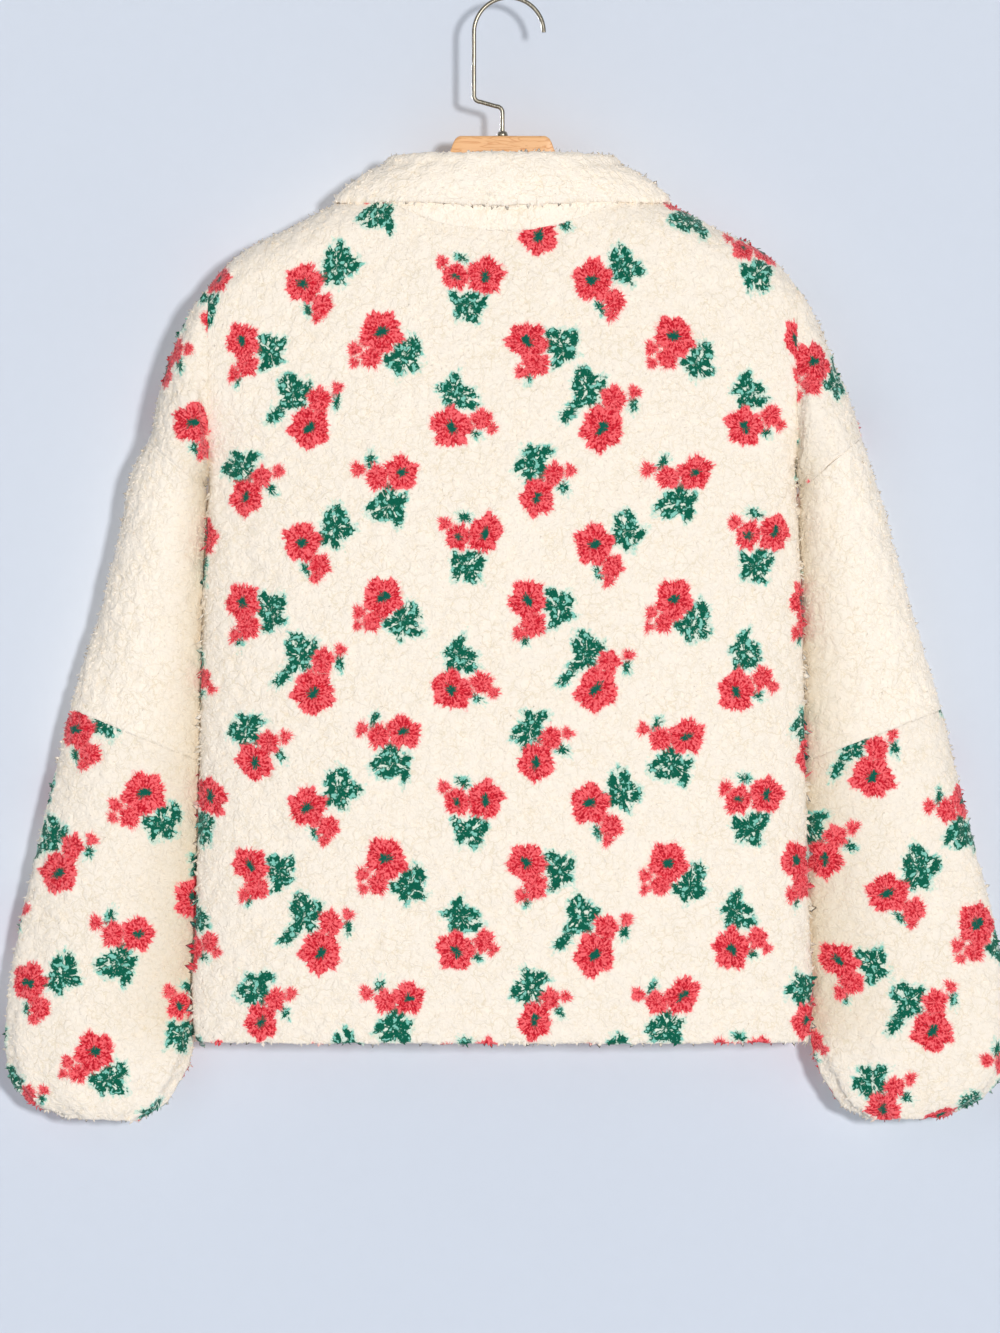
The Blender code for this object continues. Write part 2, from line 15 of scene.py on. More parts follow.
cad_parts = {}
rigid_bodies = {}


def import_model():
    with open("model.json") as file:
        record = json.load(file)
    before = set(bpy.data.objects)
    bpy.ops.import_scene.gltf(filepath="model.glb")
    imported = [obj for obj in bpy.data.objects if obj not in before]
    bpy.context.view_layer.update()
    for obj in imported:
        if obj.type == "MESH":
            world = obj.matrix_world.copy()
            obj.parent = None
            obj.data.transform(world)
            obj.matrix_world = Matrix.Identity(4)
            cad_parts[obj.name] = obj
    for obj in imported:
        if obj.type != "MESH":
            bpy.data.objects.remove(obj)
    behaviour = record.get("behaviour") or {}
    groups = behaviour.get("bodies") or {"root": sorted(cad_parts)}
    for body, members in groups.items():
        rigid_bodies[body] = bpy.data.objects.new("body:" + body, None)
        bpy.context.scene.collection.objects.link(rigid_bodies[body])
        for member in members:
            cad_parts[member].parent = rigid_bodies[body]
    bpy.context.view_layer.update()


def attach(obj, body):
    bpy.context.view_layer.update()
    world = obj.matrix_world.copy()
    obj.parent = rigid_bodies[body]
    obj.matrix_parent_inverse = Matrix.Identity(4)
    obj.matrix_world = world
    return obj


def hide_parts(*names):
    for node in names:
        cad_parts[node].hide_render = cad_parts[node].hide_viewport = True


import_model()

bl_info = {
    "name": "Teddy fleece sweatshirt",
    "version": (1, 0, 0),
    "blender": (4, 5, 0),
    "location": "View3D > Sidebar > Sweatshirt",
    "description": "Dresses the packed sweatshirt and its hanger in pile, print, wood and wire",
    "category": "Object",
}

MM = 0.001
SAME_PLACE = 1e-6

# The cut, as the frame's solids have it.
CENTRE_X = 5.0
WALL = 5.0
SEAM = 0.3
SEAM_OVERLAP = 0.3
ARMHOLE = 230.0
UNDERARM_DROP = 373.0
HEM_DROP = 816.0
HEM_STITCH_DROP = 789.0
HEM_STITCH_DEPTH = 1.6
HEM_STITCH_REACH = 5.0
SIDE_ROUNDNESS = 2.6
RIDGE_RADIUS = 30.0
ARMHOLE_OPENNESS = 0.24
ARMHOLE_CLOSING_DROP = 270.0
NECK_HALF_WIDTH = 100.0
NECKLINE = {"back": (182.5, 2.2), "front": (232.0, 2.4)}

# drop, half width of the body, depth of the back, depth of the front
BODY = (
    (110, 230, 26, 18),
    (182, 230, 30, 20),
    (235, 230, 35, 22.5),
    (300, 230, 39, 24.5),
    (373, 230, 42, 26),
    (470, 234.5, 44, 27),
    (590, 237, 43, 27),
    (710, 240, 39, 25),
    (800, 242, 35, 23),
    (816, 240, 34, 22),
)
DEPTH_COLUMN = {"back": 2, "front": 3}

# side distance, drop of the shoulder ridge
SHOULDER = ((0, 126), (60, 138), (100, 152), (134, 162), (166, 179), (202, 197), (216, 208), (230, 225))

# distance along the outer edge, then the side distance and drop of the outer and the inner edge,
# and the middle and half depth of the tube
LEFT_SLEEVE = (
    (0, 230.3, 225, 230.3, 373, 5, 21),
    (30, 248, 252, 231.0, 375, 3, 27),
    (62, 260, 281, 231.5, 377.5, 0, 30),
    (95, 269.5, 312, 232.0, 380.5, -3, 31),
    (130, 277.5, 346, 232.5, 384, -5, 31),
    (142, 285.5, 359, 231.5, 395, -9, 32),
    (200, 300, 417, 231.5, 450, -13, 32),
    (270, 318, 484, 232, 522, -15, 31),
    (346, 339.5, 555, 233, 598, -16, 29),
    (400, 352, 608, 234.5, 650, -16, 28),
    (470, 368, 676, 236.5, 712, -16, 27),
    (535, 382, 740, 238.5, 766, -16, 26),
    (580, 388.5, 785, 240.5, 803, -15, 26),
    (612, 389.5, 817, 246, 830, -13, 25),
    (643, 383, 849, 256, 850, -12, 22),
    (665, 367, 866, 268, 867, -11, 19),
    (685, 347, 873, 284, 876, -10, 15),
)
RIGHT_SLEEVE = (
    (0, 230.3, 225, 230.3, 373, 5, 21),
    (30, 246, 252, 231.0, 375, 3, 27),
    (62, 258, 281, 231.5, 377.5, 0, 30),
    (95, 271, 312, 232.0, 380.5, -3, 31),
    (130, 281.5, 343, 232.5, 384, -5, 31),
    (142, 286, 357, 231.5, 395, -9, 32),
    (200, 305, 417, 231.5, 450, -13, 32),
    (270, 323, 484, 232, 522, -15, 31),
    (346, 344.5, 556, 233, 598, -16, 29),
    (400, 357, 608, 234.5, 650, -16, 28),
    (470, 373, 672, 236.5, 712, -16, 27),
    (535, 389, 735, 238.5, 766, -16, 26),
    (580, 398, 783, 240.5, 803, -15, 26),
    (612, 399.5, 813, 246, 828, -13, 25),
    (643, 391, 843, 256, 848, -12, 22),
    (665, 373, 862, 268, 866, -11, 19),
    (685, 350, 873, 285, 875, -10, 15),
)
SLEEVE_LENGTH = 685
SLEEVE_LEAN = 12.0
CUFF_GATHERS = 10
CUFF_GATHER_START = 560
CUFF_GATHER_DEPTH = 0.05

# turn from the centre back in degrees, then side distance, depth and drop of the fold's centre,
# and side distance, depth and drop of the leaf's edge
COLLAR = (
    (0, 0, 26, 128.5, 0, 30.6, 161),
    (30, 43, 22.5, 128.5, 64.5, 27.4, 158),
    (60, 74, 13, 129.5, 112, 15.4, 158.5),
    (90, 86, 0, 131.5, 129, -1, 158),
    (103, 84, -8, 136, 127, -17, 164),
    (120, 76, -16, 148, 118, -31, 180),
    (140, 57, -22, 168, 98, -39, 212),
    (160, 28, -26, 190, 68, -42, 244),
    (171, 9, -27, 201, 46, -42, 262),
)
COLLAR_FOLD_SPAN = (86.0, 26.0)
COLLAR_END = 171.0
COLLAR_THICKNESS = 6.0
COLLAR_FOLD_RADIUS = 4.5
COLLAR_LEAF_BULGE = 2.0
COLLAR_GAP = -0.6

PLACKET_HALF_WIDTH = 16.0
PLACKET_TOP_DROP = 235.0
PLACKET_BOTTOM_DROP = 450.0
PLACKET_THICKNESS = 4.0
BUTTON_GAP = 0.5
BUTTON_DROPS = (254.0, 310.0, 366.0, 422.0)

# The hanger. side distance, drop of the top edge, drop of the bottom edge
HANGER_BAR = (
    (0, 106.9, 158),
    (34, 106.9, 160),
    (37.5, 109.5, 160.5),
    (42, 121.5, 162),
    (52, 138.5, 165),
    (66, 152, 170),
    (80, 162, 176),
    (92, 166.5, 180),
)
HANGER_TIP = 200.0
HANGER_TIP_DEPTH = 13.0
HANGER_ARM_DEPTH = 17.0
HANGER_ARM_START = 112.0
HANGER_THICKNESS = 12.0
HANGER_TIP_SHARE = 0.7
HANGER_TIP_ROUNDING = 6.0
HANGER_REST_GAP = 2.7
HANGER_SECTIONS = 241
WIRE_RADIUS = 1.7
WIRE_END_ROUNDING = 0.7
HOOK_RADIUS = 27.3
HOOK_BEND_RADIUS = 5.0
HOOK_BEND_DROP = 75.0
HOOK_JOG_FALL = 3.5
FERRULE_RADIUS = 4.2
FERRULE_TOP_DROP = 103.0
FERRULE_RIM = 0.9
FERRULE_STEP = 0.25

# The print: what a sprig holds, by kind, right and down from its centre, size, and turn in degrees.
SPRIGS = {
    "round": (
        ("bloom", -11, -2, 14.5, 10),
        ("leaves", 14, -12, 12, 40),
        ("bloom", 4, 14, 8.5, 200),
        ("bud", 0, 24, 4.5, 0),
        ("leaf", -7, 18, 5, 60),
    ),
    "pair": (
        ("bloom", 13, -9, 13.5, 80),
        ("bloom", -9, -7, 10, 150),
        ("bud", -20, -17, 5, 0),
        ("leaf", -5, -22, 5, 20),
        ("leaves", 0, 15, 11, 100),
    ),
    "side": (
        ("bloom", -8, -7, 13.5, 120),
        ("bloom", -3, 11, 9, 30),
        ("leaves", 16, 0, 11, 0),
        ("bud", -14, 17, 5, 0),
        ("leaf", -10, 20, 4.5, 90),
    ),
    "tall": (
        ("bloom", -3, -10, 15, 200),
        ("leaves", 13, 9, 11, 70),
        ("leaf", 22, -2, 6.5, 60),
        ("bloom", -11, 8, 7.5, 15),
        ("bud", -22, 1, 5, 0),
        ("bud", -23, 11, 4, 0),
    ),
    "wide": (
        ("bloom", 0, 14, 15.5, 45),
        ("leaves", -11, -13, 11.5, 20),
        ("leaf", -25, 4, 7, 140),
        ("bloom", 8, -7, 9, 75),
        ("bud", 23, -14, 4.5, 0),
        ("leaf", 22, -5, 5, 90),
    ),
    "crown": (
        ("bloom", -7, 12, 14.5, 300),
        ("leaves", -1, -14, 11, 160),
        ("bloom", 15, 5, 8, 100),
        ("bud", 23, 12, 4.5, 0),
        ("leaf", 10, 16, 4.5, 30),
    ),
    "leafy": (
        ("bloom", 0, 11, 13.5, 260),
        ("leaves", -5, -13, 12, 210),
        ("bloom", 12, -5, 8, 310),
        ("bud", 25, -8, 4.5, 0),
        ("leaf", 20, 4, 5, 45),
    ),
    "drop": (
        ("bloom", 13, -9, 12.5, 20),
        ("bloom", -6, -5, 8.5, 240),
        ("bud", -20, -11, 5, 0),
        ("leaf", -10, -16, 5, 110),
        ("leaves", 4, 14, 12, 300),
    ),
}
# Where the sprigs of one repeat stand: right and down.
REPEAT = (234.0, 204.0)
REPEAT_SPRIGS = (
    ("round", -149, 225),
    ("pair", -27, 225),
    ("side", -206, 275),
    ("tall", -92, 275),
    ("wide", -156, 323),
    ("crown", -34, 323),
    ("leafy", -205, 380),
    ("drop", -96, 380),
)
SPRIG_REACH = 42.0
SPRIG_SCALE = 1.06
LEAVES_IN_A_CLUSTER = 8
GOLDEN_TURN = 2.39996
NO_INK = -6.0


def display_colour(red, green, blue):
    """A colour given as it shows on a display, 0 to 255, in linear light."""
    shares = (value / 255 for value in (red, green, blue))
    return tuple(c / 12.92 if c <= 0.04045 else ((c + 0.055) / 1.055) ** 2.4 for c in shares)


def colour_setting(name, description, display):
    return FloatVectorProperty(
        name=name,
        description=description,
        default=display_colour(*display),
        subtype="COLOR",
        size=3,
        min=0,
        max=1,
    )


def length_setting(name, description, millimetres):
    return FloatProperty(name=name, description=description, default=millimetres * MM, min=0, unit="LENGTH")


def number_setting(name, description, default):
    return FloatProperty(name=name, description=description, default=default, min=0)


class FleeceSettings(bpy.types.PropertyGroup):
    """The teddy fleece: the size of its pile, the colours of its wool, and the colours of the shade painted
    into its crevices and valleys.
    """

    curl_size: length_setting("Curl size", "Distance between the curls of the pile", 7.5)
    curl_height: length_setting("Curl height", "How far a curl stands above its crevice", 1.5)
    fine_height: length_setting("Fine curl height", "Height of the small curls on the large ones", 0.5)
    tuft_spacing: length_setting("Tuft spacing", "Least distance between the loose tufts", 3.3)
    tuft_length: length_setting("Tuft length", "Length of a loose tuft", 3.3)
    tuft_radius: length_setting("Tuft radius", "Half width of a tuft at its foot", 1.3)
    seed: IntProperty(name="Seed", description="Start of the tufts' random places", default=7, min=0)
    cream: colour_setting("Cream", "The wool at the top of its curls", (250, 238, 222))
    # Crevice is painted shade: the cream darkened where the pile is low and in the thin gaps between locks,
    # as if shadowed.
    crevice: colour_setting("Crevice", "The wool deep between its curls", (222, 206, 176))
    # Shade is painted shade: the wool darkened in the valleys between body and sleeves, as if shadowed.
    shade: colour_setting("Shade", "The wool down in the valleys between body and sleeves", (216, 198, 168))
    backing: colour_setting("Backing", "The knitted inside of the cloth", (240, 234, 221))


class PrintSettings(bpy.types.PropertyGroup):
    """The inks of the sprigs."""

    petal: colour_setting("Petal", "The blooms' main colour", (212, 30, 48))
    blush: colour_setting("Blush", "The paler red between the petals' fibres", (246, 108, 112))
    leaf: colour_setting("Leaf", "The leaves' dark green", (0, 92, 70))
    mint: colour_setting("Mint", "The pale green between the leaves", (146, 216, 198))
    heart: colour_setting("Heart", "The dark eye of a bloom", (6, 90, 74))


class HangerSettings(bpy.types.PropertyGroup):
    """The hanger: its wood and its wire."""

    wood: colour_setting("Wood", "The beech between its grain lines", (234, 180, 124))
    grain: colour_setting("Grain", "The darker grain lines", (212, 148, 92))
    steel: colour_setting("Steel", "The nickelled wire", (158, 150, 134))
    edge_radius: length_setting("Edge radius", "Rounding of the bar's long edges", 2.4)


class ButtonSettings(bpy.types.PropertyGroup):
    """The buttons of the placket."""

    radius: length_setting("Radius", "Radius of a button", 7.5)
    thickness: length_setting("Thickness", "Thickness of a button at its rim", 3.2)
    hole_radius: length_setting("Hole radius", "Radius of a thread hole", 0.85)
    hole_place: length_setting("Hole place", "Distance of a thread hole from the middle", 1.9)
    colour: colour_setting("Colour", "The horn-like plastic", (232, 216, 186))
    thread: colour_setting("Thread", "The sewing thread", (246, 240, 226))


class StageSettings(bpy.types.PropertyGroup):
    """The studio round the garment."""

    wall: colour_setting("Wall", "The pale backdrop", (204, 210, 220))
    floor: colour_setting("Floor", "The pale floor", (212, 217, 224))
    camera_distance: FloatProperty(
        name="Camera distance",
        description="Distance of the camera from the garment's middle plane",
        default=5.0,
        min=0.5,
        unit="LENGTH",
    )
    key_power: number_setting("Key light", "Power of the key light in watts", 545)
    fill_power: number_setting("Fill light", "Power of the fill light in watts", 9)
    sky_strength: number_setting("Sky", "Strength of the even light", 0.33)


SETTINGS = {
    "sweatshirt_fleece": FleeceSettings,
    "sweatshirt_print": PrintSettings,
    "sweatshirt_hanger": HangerSettings,
    "sweatshirt_button": ButtonSettings,
    "sweatshirt_stage": StageSettings,
}


# Curves and places.


def follow(table, column, at):
    """Read a column between the table's rows, on a smooth curve through them."""
    keys, values = (np.array([row[c] for row in table], float) for c in (0, column))
    slopes = np.gradient(values, keys)
    at = np.clip(at, keys[0], keys[-1])
    low = np.clip(np.searchsorted(keys, at) - 1, 0, len(keys) - 2)
    step = keys[low + 1] - keys[low]
    t = (at - keys[low]) / step
    start = (1 + 2 * t) * (1 - t) ** 2 * values[low] + t * (1 - t) ** 2 * step * slopes[low]
    end = t**2 * (3 - 2 * t) * values[low + 1] - t**2 * (1 - t) * step * slopes[low + 1]
    return start + end


def smooth_step(t):
    t = np.clip(t, 0, 1)
    return t * t * (3 - 2 * t)


def place(side, depth, drop):
    """Points in metres from a side distance, a depth and a drop."""
    side, depth, drop = np.broadcast_arrays(side, depth, drop)
    return np.stack([side + CENTRE_X, depth, -drop], axis=-1) * MM


def even_shares(points):
    """The shares along a line of points at which its length is divided evenly."""
    steps = np.linalg.norm(np.diff(points, axis=0), axis=1)
    lengths = np.concatenate([[0], np.cumsum(steps)])
    return lengths / lengths[-1]


# The cut's surfaces.


def body_depth(side, drop, panel, inset):
    """Depth of a panel's outer face, or of its inner face when inset is the wall."""
    full_depth = follow(BODY, DEPTH_COLUMN[panel], drop) - inset
    closing = (drop - ARMHOLE_CLOSING_DROP) / (UNDERARM_DROP - ARMHOLE_CLOSING_DROP)
    openness = ARMHOLE_OPENNESS * (1 - smooth_step(closing))
    full_width = (follow(BODY, 1, drop) - inset) * (1 + openness)
    across = np.sqrt(np.clip(1 - (np.abs(side) / full_width) ** SIDE_ROUNDNESS, 0, 1))
    below = (drop - inset - follow(SHOULDER, 1, np.abs(side))) / RIDGE_RADIUS
    over_ridge = np.sqrt(np.clip(1 - (1 - np.clip(below, 0, 1)) ** 2, 0, 1))
    stitch = np.exp(-(((drop - HEM_STITCH_DROP) / HEM_STITCH_REACH) ** 2))
    groove = HEM_STITCH_DEPTH * stitch * (np.asarray(inset) == 0)
    return np.maximum(full_depth - groove, 0) * across * over_ridge - SEAM_OVERLAP


def top_drop(side, panel, inset):
    """Drop of a panel's top edge: the shoulder ridge, and the neckline between the shoulders."""
    centre, power = NECKLINE[panel]
    corner = float(follow(SHOULDER, 1, NECK_HALF_WIDTH))
    rise = (centre - corner) * np.clip(np.abs(side) / NECK_HALF_WIDTH, 0, 1) ** power
    neck = np.where(np.abs(side) < NECK_HALF_WIDTH, centre - rise, 0)
    return np.maximum(follow(SHOULDER, 1, np.abs(side)) + inset, neck)


# share down a panel where its ridge, its armhole and its flat part end, before the turned hem
PANEL_STOPS = (0.068, 0.325, 0.982)


def panel_point(panel, s, t, inset):
    """A point of a body panel at a share across and a share down."""
    reference = np.linspace(-1, 1, 401)
    width = float(follow(BODY, 1, 500.0))
    line = place(reference * width, body_depth(reference * width, np.full(401, 500.0), panel, 0), 500.0)
    across = np.interp(s, even_shares(line), reference)
    ridge, armhole, flat = PANEL_STOPS
    top = top_drop(across * ARMHOLE, panel, inset)
    ridge_end = top + RIDGE_RADIUS
    over = np.clip(t / ridge, 0, 1)
    at_arm = np.clip((t - ridge) / (armhole - ridge), 0, 1)
    at_body = np.clip((t - armhole) / (flat - armhole), 0, 1)
    drop = top + RIDGE_RADIUS * (1 - np.cos(math.pi / 2 * over))
    drop = drop + (UNDERARM_DROP - ridge_end) * at_arm + (HEM_DROP - WALL / 2 - UNDERARM_DROP) * at_body

    def width_at(drop, inset):
        below_arm = smooth_step((drop - UNDERARM_DROP) / WALL)
        return ARMHOLE * (1 - below_arm) + (follow(BODY, 1, drop) - inset) * below_arm

    side = across * width_at(drop, inset)
    depth = body_depth(side, drop, panel, inset)
    turn = np.clip((t - flat) / (1 - flat), 0, 1) * 0.85
    inner_side = across * width_at(HEM_DROP, WALL)
    inner_depth = body_depth(inner_side, np.full_like(side, HEM_DROP), panel, WALL)
    side = side * (1 - turn) + inner_side * turn
    depth = depth * (1 - turn) + inner_depth * turn
    drop = drop + WALL / 2 * np.sin(math.pi * turn)
    return place(side, depth if panel == "back" else -depth, drop)


def sleeve_point(table, side, stops, s, t, inset):
    """A point of a sleeve piece; it goes round from the inner edge by the front, outer edge and back."""
    reference = np.linspace(-math.pi, math.pi, 401)
    ring = np.stack([66 * np.cos(reference), 29 * np.sin(reference)], axis=-1)
    turn = np.interp(s, even_shares(ring), reference)
    start, end = stops
    rolled = end >= SLEEVE_LENGTH
    tube = 0.965 if rolled else 1.0
    along = start + (end - start) * np.clip(t / tube, 0, 1)
    roll = np.clip((t - tube) / (1 - tube), 0, 1) * 0.85 if rolled else np.zeros_like(t)
    inset = inset * (1 - roll) + WALL * roll
    outer_x, outer_drop, inner_x, inner_drop, middle, depth = (
        follow(table, column, along) for column in range(1, 7)
    )
    length = np.hypot(outer_x - inner_x, outer_drop - inner_drop)
    narrow = 1 - 2 * inset / length
    gather = np.clip((along - CUFF_GATHER_START) / (SLEEVE_LENGTH - CUFF_GATHER_START), 0, 1)
    wave = 1 + CUFF_GATHER_DEPTH * gather * np.cos(CUFF_GATHERS * turn)
    swing = np.cos(turn) * narrow * wave
    x = (outer_x + inner_x) / 2 + (outer_x - inner_x) / 2 * swing
    drop = (outer_drop + inner_drop) / 2 + (outer_drop - inner_drop) / 2 * swing
    drop = drop + WALL / 2 * np.sin(math.pi * roll)
    y = middle + (depth - inset) * np.sin(turn) * wave
    edge = np.where(
        np.sin(turn) >= 0,
        body_depth(np.full_like(drop, ARMHOLE), drop, "back", inset),
        -body_depth(np.full_like(drop, ARMHOLE), drop, "front", inset),
    )
    joined = smooth_step(along / table[1][0])
    x = x - 3 * SEAM_OVERLAP * (1 - smooth_step(along / 20))
    return place(side * x, edge * (1 - joined) + y * joined, drop)


def collar_point(turn, station, face):
    """A point of the collar at a turn in degrees; face 1 is the leaf's upper face and -1 its underside.

    The station runs from 0 to 1 up the stand, to 2 over the fold and to 3 down the leaf.
    """
    angle, reach = np.radians(turn), np.abs(turn)
    inset = np.where(face > 0, WALL, 0.0)
    side = (NECK_HALF_WIDTH - inset) * np.sin(angle)
    at_back = reach <= 90
    edge_drop = np.where(at_back, top_drop(side, "back", 0), top_drop(side, "front", 0)) - COLLAR_GAP
    depth_back = body_depth(side, edge_drop, "back", inset)
    depth_front = -body_depth(side, edge_drop, "front", inset)
    base = place(side, np.where(at_back, depth_back, depth_front), edge_drop)

    sign = np.sign(turn)
    fold_x, fold_y, fold_drop, leaf_x, leaf_y, leaf_drop = (
        follow(COLLAR, column, reach) for column in range(1, 7)
    )
    half_width, half_depth = COLLAR_FOLD_SPAN
    normal = np.stack(
        [np.sin(angle) / half_width, np.cos(angle) / half_depth, np.zeros_like(angle)], axis=-1
    )
    normal /= np.linalg.norm(normal, axis=-1, keepdims=True)
    up = np.array([0.0, 0.0, 1.0])
    fold = place(sign * fold_x, fold_y, fold_drop)
    edge = place(sign * leaf_x, leaf_y, leaf_drop)
    radius = COLLAR_FOLD_RADIUS * MM
    proud = (face * COLLAR_THICKNESS / 2 * MM)[:, None]
    rise = np.clip(station, 0, 1)[:, None]
    stand = base * (1 - rise) + (fold - normal * (radius + proud)) * rise
    bend = (math.pi * (2 - np.clip(station, 1, 2)))[:, None]
    ring = -normal * np.cos(math.pi - bend) + up * np.sin(bend)
    over = fold + ring * (radius + proud)
    share = np.clip(station - 2, 0, 1)[:, None]
    leaf_top = fold + normal * radius
    run = edge - leaf_top
    out = -normal * run[..., 2:] + up * np.sum(run * normal, axis=-1, keepdims=True)
    out /= np.linalg.norm(out, axis=-1, keepdims=True)
    blend = np.minimum(1.0, share * 4)
    facing = normal * (1 - blend) + out * blend
    facing /= np.linalg.norm(facing, axis=-1, keepdims=True)
    bulge = COLLAR_LEAF_BULGE * MM * np.sin(math.pi * share)
    leaf = leaf_top + run * share + facing * (bulge + proud)
    zone = station[:, None]
    return np.where(zone <= 1, stand, np.where(zone <= 2, over, leaf))


# The print, in millimetres of flat cloth.


def wrapped(distance, period):
    return (distance + period / 2) % period - period / 2


def leaf_ink(right, down, size, turn):
    """How deep inside a leaf's outline a point lies."""
    along = right * math.cos(turn) + down * math.sin(turn)
    across = down * math.cos(turn) - right * math.sin(turn)
    return (1 - np.hypot(along / size, across / (size * 0.56))) * size * 0.56


def motif_inks(kind, right, down, size, turn):
    """The ink that a motif puts down round its own centre, as depth inside its outline."""
    reach, angle = np.hypot(right, down), np.arctan2(down, right) + math.radians(turn)
    if kind == "bloom":
        outline = size * (1 + 0.09 * np.cos(5 * angle) + 0.05 * np.cos(8 * angle + 1))
        eye = size * 0.27 * (1 + 0.25 * np.cos(2 * angle))
        return {"petal": outline - reach, "heart": eye - reach if size > 9 else np.full_like(reach, NO_INK)}
    if kind == "bud":
        return {"petal": size * (1 + 0.15 * np.cos(3 * angle)) - reach}
    if kind == "leaf":
        return {"leaf": leaf_ink(right, down, size, math.radians(turn))}
    cluster = np.full_like(reach, NO_INK)
    for number in range(LEAVES_IN_A_CLUSTER):
        heading = number * GOLDEN_TURN + math.radians(turn)
        out = size * 1.1 * math.sqrt((number + 0.3) / LEAVES_IN_A_CLUSTER)
        centre_right, centre_down = out * math.cos(heading), out * math.sin(heading)
        lean = heading + 0.9 * (-1) ** number
        one = leaf_ink(right - centre_right, down - centre_down, size * 0.5, lean)
        cluster = np.maximum(cluster, one)
    return {"leaf": cluster}


def over_shoulders(right, down):
    """How far a sprig near the shoulders rides out and up, where the cloth was eased in."""
    ridge = smooth_step((205 - down) / 20) * smooth_step((np.abs(right) - 20) / 80)
    tip = smooth_step((270 - down) / 30) * smooth_step((right - 150) / 40) * (1 - ridge)
    return 0.11 * right * ridge + 6 * tip, -22 * ridge - 24 * tip


def print_inks(right, down, eased):
    """At points of the cloth, each ink's depth, and the way there from its bloom's or leaves' middle.

    On a panel the sprigs by the shoulders are eased up and out.
    """
    inks = {ink: np.full(right.shape, NO_INK) for ink in ("petal", "heart", "leaf")}
    rays = {ink: np.zeros((len(right), 3)) for ink in ("petal", "leaf")}
    drift_right = 1.8 * np.sin(down / 31 + 1.7 * np.sin(right / 47)) + 1.1 * np.sin(down / 13 + right / 19)
    drift_down = 1.8 * np.sin(right / 29 + 1.3 * np.sin(down / 53)) + 1.1 * np.sin(right / 11 - down / 17)
    for name, sprig_right, sprig_down in REPEAT_SPRIGS:
        dx = wrapped(right + drift_right - sprig_right, REPEAT[0])
        dy = wrapped(down + drift_down - sprig_down, REPEAT[1])
        if eased:
            shift_right, shift_down = over_shoulders(right - dx, down - dy)
            dx, dy = dx - shift_right, dy - shift_down
        near = np.hypot(dx, dy) < SPRIG_REACH
        for kind, motif_right, motif_down, size, turn in SPRIGS[name]:
            ray_right = dx[near] / SPRIG_SCALE - motif_right
            ray_down = dy[near] / SPRIG_SCALE - motif_down
            for ink, depth in motif_inks(kind, ray_right, ray_down, size, turn).items():
                if ink in rays:
                    own = depth > inks[ink][near]
                    deeper = np.flatnonzero(near)[own]
                    rays[ink][deeper, :2] = np.stack([ray_right[own], ray_down[own]], axis=-1)
                inks[ink][near] = np.maximum(inks[ink][near], depth)
    return inks, rays


# Meshes and objects.


def mesh_data(mesh, name):
    """Hand a finished bmesh over to new mesh data."""
    data = bpy.data.meshes.new(name)
    mesh.to_mesh(data)
    mesh.free()
    return data


def new_object(name, data):
    """A new object in the scene's own collection."""
    made = bpy.data.objects.new(name, data)
    bpy.context.scene.collection.objects.link(made)
    return made


def face_outward(data):
    """Turn the faces of a closed mesh outward and shade them smooth."""
    mesh = bmesh.new()
    mesh.from_mesh(data)
    bmesh.ops.recalc_face_normals(mesh, faces=mesh.faces)
    mesh.to_mesh(data)
    mesh.free()
    data.shade_smooth()


def turned(profile, closed, steps):
    """A profile of reaches and heights, turned round the Z axis."""
    mesh = bmesh.new()
    line = [mesh.verts.new((reach, 0, height)) for reach, height in profile]
    edges = [mesh.edges.new(pair) for pair in zip(line, line[1:] + line[: int(closed)])]
    bmesh.ops.spin(
        mesh,
        geom=line + edges,
        cent=(0, 0, 0),
        axis=(0, 0, 1),
        angle=2 * math.pi,
        steps=steps,
        use_merge=True,
    )
    bmesh.ops.remove_doubles(mesh, verts=mesh.verts, dist=SAME_PLACE)
    bmesh.ops.recalc_face_normals(mesh, faces=mesh.faces)
    return mesh


# Cloth shells.


def rim_faces(mesh, outer, inner, ratio):
    """Close the rim between a fine loop of vertices and a coarse one with ratio times fewer."""
    for number in range(len(inner)):
        after = (number + 1) % len(inner)
        fine = [outer[(number * ratio + step) % len(outer)] for step in range(ratio + 1)]
        mesh.faces.new([inner[after], inner[number], *fine])


def border(order, columns, rows, closed):
    """The loops of vertices round a grid's border: one round a panel, two on a tube."""
    if closed:
        return [[order[column, row] for column in range(columns)] for row in (0, rows)]
    top = [order[column, 0] for column in range(columns)]
    right = [order[columns, row] for row in range(rows)]
    bottom = [order[column, rows] for column in range(columns, 0, -1)]
    left = [order[0, row] for row in range(rows, 0, -1)]
    return [top + right + bottom + left]


def share_mesh(name, columns, rows, ratio, closed):
    """A slab in shares: a fine grid at height 0, a coarse one at height 1, and the rims between them."""
    mesh = bmesh.new()
    loops = []
    for layer, step in ((0, 1), (1, ratio)):
        across, down = columns // step, rows // step
        grid = bmesh.ops.create_grid(mesh, x_segments=across, y_segments=down, size=0.5)
        order = {}
        for vertex in grid["verts"]:
            column, row = round((vertex.co.x + 0.5) * across), round((vertex.co.y + 0.5) * down)
            vertex.co = (column / across, row / down, layer)
            if closed and column == across:
                vertex.co.x = 0
                continue
            order[column, row] = vertex
        if layer:
            for face in {face for vertex in grid["verts"] for face in vertex.link_faces}:
                face.material_index = 1
        loops.append(border(order, across, down, closed))
    for outer, inner in zip(*loops):
        rim_faces(mesh, outer, inner, ratio)
    if closed:
        bmesh.ops.remove_doubles(mesh, verts=mesh.verts, dist=1e-5)
    return mesh_data(mesh, name)


def vertex_places(data):
    values = np.empty(len(data.vertices) * 3, np.float32)
    data.vertices.foreach_get("co", values)
    return values.reshape(-1, 3).astype(float)


